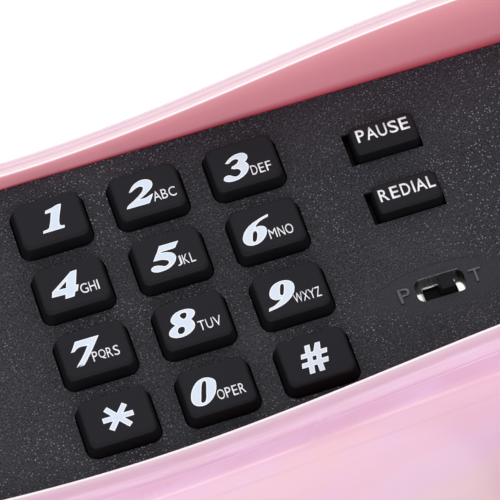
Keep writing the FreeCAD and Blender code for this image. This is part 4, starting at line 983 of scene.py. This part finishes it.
# handset shells, grilles and bottom cover: merged copies of the CAD pieces with smooth shading

smoothCopies = {
    "handset_back_shell": ("handsetBack", pearlHandset), "handset_face_shell": ("handsetFace", pearlHandset),
    "earpiece_grille": ("earpieceGrille", pearlHandset), "mouthpiece_grille": ("mouthpieceGrille", pearlHandset),
    "bottom_cover": ("undersideCover", paleMoulding),
}
copyCrease, copyJoin = 32, 2e-6


def makeSmoothCopies():
    bodyOf = {node: body for body, nodes in frame["record"]["behaviour"]["bodies"].items() for node in nodes}
    slotOf = {part["node"]: part["material_slot"] for part in frame["record"]["subparts"]}
    for node, (name, material) in smoothCopies.items():
        mesh = frame["nodes"][node].data.copy()
        mesh.name = name
        dress(mesh, material)
        tidyMesh(mesh, copyCrease, outward=False, join=copyJoin)
        seat(linkObject(name, mesh), bodyOf[node], slotOf[node], node)


makeSmoothCopies()
print("stage: handset shells and cover")


# what repeats is grown on points by Geometry Nodes: screws, springs and the jacks' contacts

def shapeTree(name, *labels):
    return Group(name, dict.fromkeys(labels, 0.0), ("Geometry",), "NodeSocketGeometry", "GeometryNodeTree")


def endShape(t, geometry, material):
    real = t.shape("RealizeInstances", "Geometry", {"Geometry": geometry})
    t.give(Geometry=t.shape("SetMaterial", "Geometry", {"Geometry": real, "Material": material}))


def onPoints(t, instance, **more):
    return t.shape("InstanceOnPoints", "Instances", {"Points": t.source["Geometry"], "Instance": instance, **more})


def grow(t, name, points, sizes, material, creaseAngle, edges=(), turns=()):
    mesh = rawMesh(name, points, [], edges)
    if turns:
        layer = mesh.attributes.new("turn", "FLOAT", "POINT")
        for item, turn in zip(layer.data, turns):
            item.value = turn
    obj = linkObject(name, mesh)
    modifier = obj.modifiers.new("grow", "NODES")
    modifier.node_group = t.tree
    for label, value in sizes.items():
        modifier[t.keys[label]] = value
    applyModifiers(obj)
    if not obj.data.materials:
        obj.data.materials.append(material)
    tidyMesh(obj.data, creaseAngle, join=0)
    return obj


def shifted(t, geometry, x=0.0, y=0.0, z=0.0):
    return t.shape("SetPosition", "Geometry", {"Geometry": geometry, "Offset": t.vector(x, y, z)})


def wireAlong(t, line, radius, sides):
    ring = t.shape("CurvePrimitiveCircle", "Curve", {"Resolution": sides, "Radius": radius})
    return t.shape("CurveToMesh", "Mesh", {"Curve": line, "Profile Curve": ring, "Fill Caps": True})


# cross screw: shares of the head's height and radius, the thread's ridge, and sides and segments of its rounds
crossScrew = {"bevel": 0.35, "face": 0.84, "barLength": 1.15, "barWidth": 0.26, "ridge": 0.07, "overlap": 0.01,
              "headSides": 28, "shankSides": 14, "shankRings": 36, "turned": 0.6}


def makeScrewTree():
    # outer face of the head at height 0, the shank above it
    s = crossScrew
    t = shapeTree("crossScrew", "Head", "Height", "Shank", "Length", "Pitch")
    head, high, shank, length, pitch = (t.source[k] for k in t.keys)
    bevel = t.times(high, s["bevel"])
    cap = t.shape("MeshCone", "Mesh", {"Vertices": s["headSides"], "Radius Bottom": t.times(head, s["face"]),
                                       "Radius Top": head, "Depth": bevel})
    rest = t.minus(high, bevel)
    disc = t.shape("MeshCylinder", "Mesh", {"Vertices": s["headSides"], "Radius": head, "Depth": rest})
    disc = shifted(t, disc, z=t.plus(bevel, t.times(rest, 0.5)))
    rod = t.shape("MeshCylinder", "Mesh", {"Vertices": s["shankSides"], "Side Segments": s["shankRings"],
                                           "Radius": shank, "Depth": length})
    along = t.split(t.shape("InputPosition", "Position"))
    wave = t.maths("COSINE", t.times(t.over(along["Z"], pitch), 2 * math.pi))
    wave = t.times(t.minus(wave, 1.0), s["ridge"])
    rod = shifted(t, rod, t.times(along["X"], wave), t.times(along["Y"], wave))
    rod = shifted(t, rod, z=t.minus(t.plus(high, t.times(length, 0.5)), s["overlap"] * mm))
    joined = t.shape("MeshBoolean", "Mesh", {"Mesh 2": (rod, disc, cap)}, operation="UNION")
    long, narrow = t.times(head, s["barLength"]), t.times(head, s["barWidth"])
    bars = tuple(t.shape("MeshCube", "Mesh", {"Size": t.vector(x, y, high)})
                 for x, y in ((long, narrow), (narrow, long)))
    cut = t.shape("MeshBoolean", "Mesh", {"Mesh 1": joined, "Mesh 2": bars}, operation="DIFFERENCE")
    turn = t.shape("InputNamedAttribute", "Attribute", {"Name": "turn"}, data_type="FLOAT")
    facing = t.add("FunctionNodeEulerToRotation", {"Euler": t.vector(turn, z=s["turned"])})["Rotation"]
    endShape(t, onPoints(t, cut, Rotation=facing), steel)
    return t


# each set: head radius and height, shank radius and length, pitch, and the places with the way they point
corners = ((-1, -1), (-1, 1), (1, -1), (1, 1))
screwSets = {
    "cover_screws": (2.6, 1.1, 1.4, 12.0, 0.8, [(x * 96.67, y * 19.67, 2.0, 1) for x, y in corners]),
    "plate_screws": (1.9, 0.9, 1.0, 3.4, 0.55, [(x, 0.0, 25.1, 1) for x in (-99.5, 99.5)]),
    "board_screws": (1.9, 0.9, 1.0, 4.4, 0.55, [(x, y, 20.2, 1) for x in (-5.0, 66.5) for y in (-18.5, 18.5)]
                     + [(x, y, 10.5, -1) for x in (-41.0, 46.0) for y in (12.0, 34.0)]),
    "handset_screws": (2.6, 1.1, 1.4, 16.0, 0.8, [(x, -82 + y, 1.6, 1) for x in (-66.4, 66.4)
                                                  for y in (-16.2, 16.2)]),
}


def makeScrews():
    t = makeScrewTree()
    for node, (*measures, places) in screwSets.items():
        sizes = {label: measure * mm for label, measure in zip(t.keys, measures)}
        turns = [0.0 if place[3] > 0 else math.pi for place in places]
        obj = grow(t, node.replace("_", "") + "Set", [place[:3] for place in places], sizes, steel, 40, turns=turns)
        seat(obj, "handset" if node == "handset_screws" else "base", "steel", node)


spring = {"radius": 3.3, "wire": 0.45, "turns": 6.5, "low": 4.0, "high": 13.8, "places": (-58.0, 58.0), "keep": 0.643,
          "turnSteps": 28, "sides": 10}


def makeSprings():
    s = spring
    t = shapeTree("coilSpring", "Radius", "Wire", "Turns", "Height")
    radius, wire, turns, height = (t.source[k] for k in t.keys)
    line = t.shape("CurveSpiral", "Curve", {"Resolution": s["turnSteps"], "Rotations": turns, "Start Radius": radius,
                                            "End Radius": radius, "Height": height})
    endShape(t, onPoints(t, wireAlong(t, line, wire, s["sides"])), steel)
    sizes = {"Radius": s["radius"] * mm, "Wire": s["wire"] * mm, "Turns": s["turns"],
             "Height": (s["high"] - s["low"] - 2 * s["wire"]) * mm}
    points = [(x, 0.0, s["low"] + s["wire"]) for x in s["places"]]
    obj = seat(grow(t, "hookCoils", points, sizes, steel, 60), "base", "steel", "hook_springs")
    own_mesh(obj)


# contacts in the jacks: route of one wire from the mouth inwards, and each jack's middle, turn and body
contact = {"wire": 0.2, "bend": 0.8, "pitch": 1.27, "count": 4, "sides": 8,
           "route": ((-1.2, 5.9), (-8.6, 1.6), (-10.6, 1.6))}
jackPlaces = {"line": ((62.0, 41.4, 6.0), 0, "base"), "cord": ((-112.2, 0.0, 5.5), 90, "base"),
              "handset": ((-98.5, -82.0, 14.6), 90, "handset")}


def makeContacts():
    c = contact
    t = shapeTree("contactWires", "Wire", "Bend")
    line = t.shape("MeshToCurve", "Curve", {"Mesh": t.source["Geometry"]})
    bent = t.shape("FilletCurve", "Curve", {"Curve": line, "Radius": t.source["Bend"]})
    endShape(t, wireAlong(t, bent, t.source["Wire"], c["sides"]), gold)
    for name, (middle, turn, body) in jackPlaces.items():
        spin = Matrix.Rotation(math.radians(turn), 3, "Z")
        points, edges = [], []
        for k in range(c["count"]):
            across = (k - (c["count"] - 1) / 2) * c["pitch"]
            start = len(points)
            points += [tuple(spin @ Vector((across, y, z)) + Vector(middle)) for y, z in c["route"]]
            edges += [(start + j, start + j + 1) for j in range(len(c["route"]) - 1)]
        sizes = {"Wire": c["wire"] * mm, "Bend": c["bend"] * mm}
        seat(grow(t, "contacts_" + name, points, sizes, gold, 60, edges), body, "steel")


makeScrews()
makeSprings()
makeContacts()
print("stage: screws, springs and contacts")


# what the CAD nodes keep: a finish for each of the rest

nodeFinish = (
    (sandedBlack, "faceplate"), (leverBlack, "tone_switch_lever"), (board, "keypad_board main_board"),
    (rubber, "rubber_feet keypad_mat microphone_holder"),
    (steel, "ballast_plate handset_weight receiver_capsule microphone"),
    (blackMoulding, "ringer_speaker line_jack handset_jack handset_cord_jack hook_switch hook_yoke "
                    "hook_plunger_left hook_plunger_right"),
)


def dressNodes():
    for material, names in nodeFinish:
        for name in names.split():
            dress(frame["nodes"][name].data, material)


dressNodes()

print("stage: done")
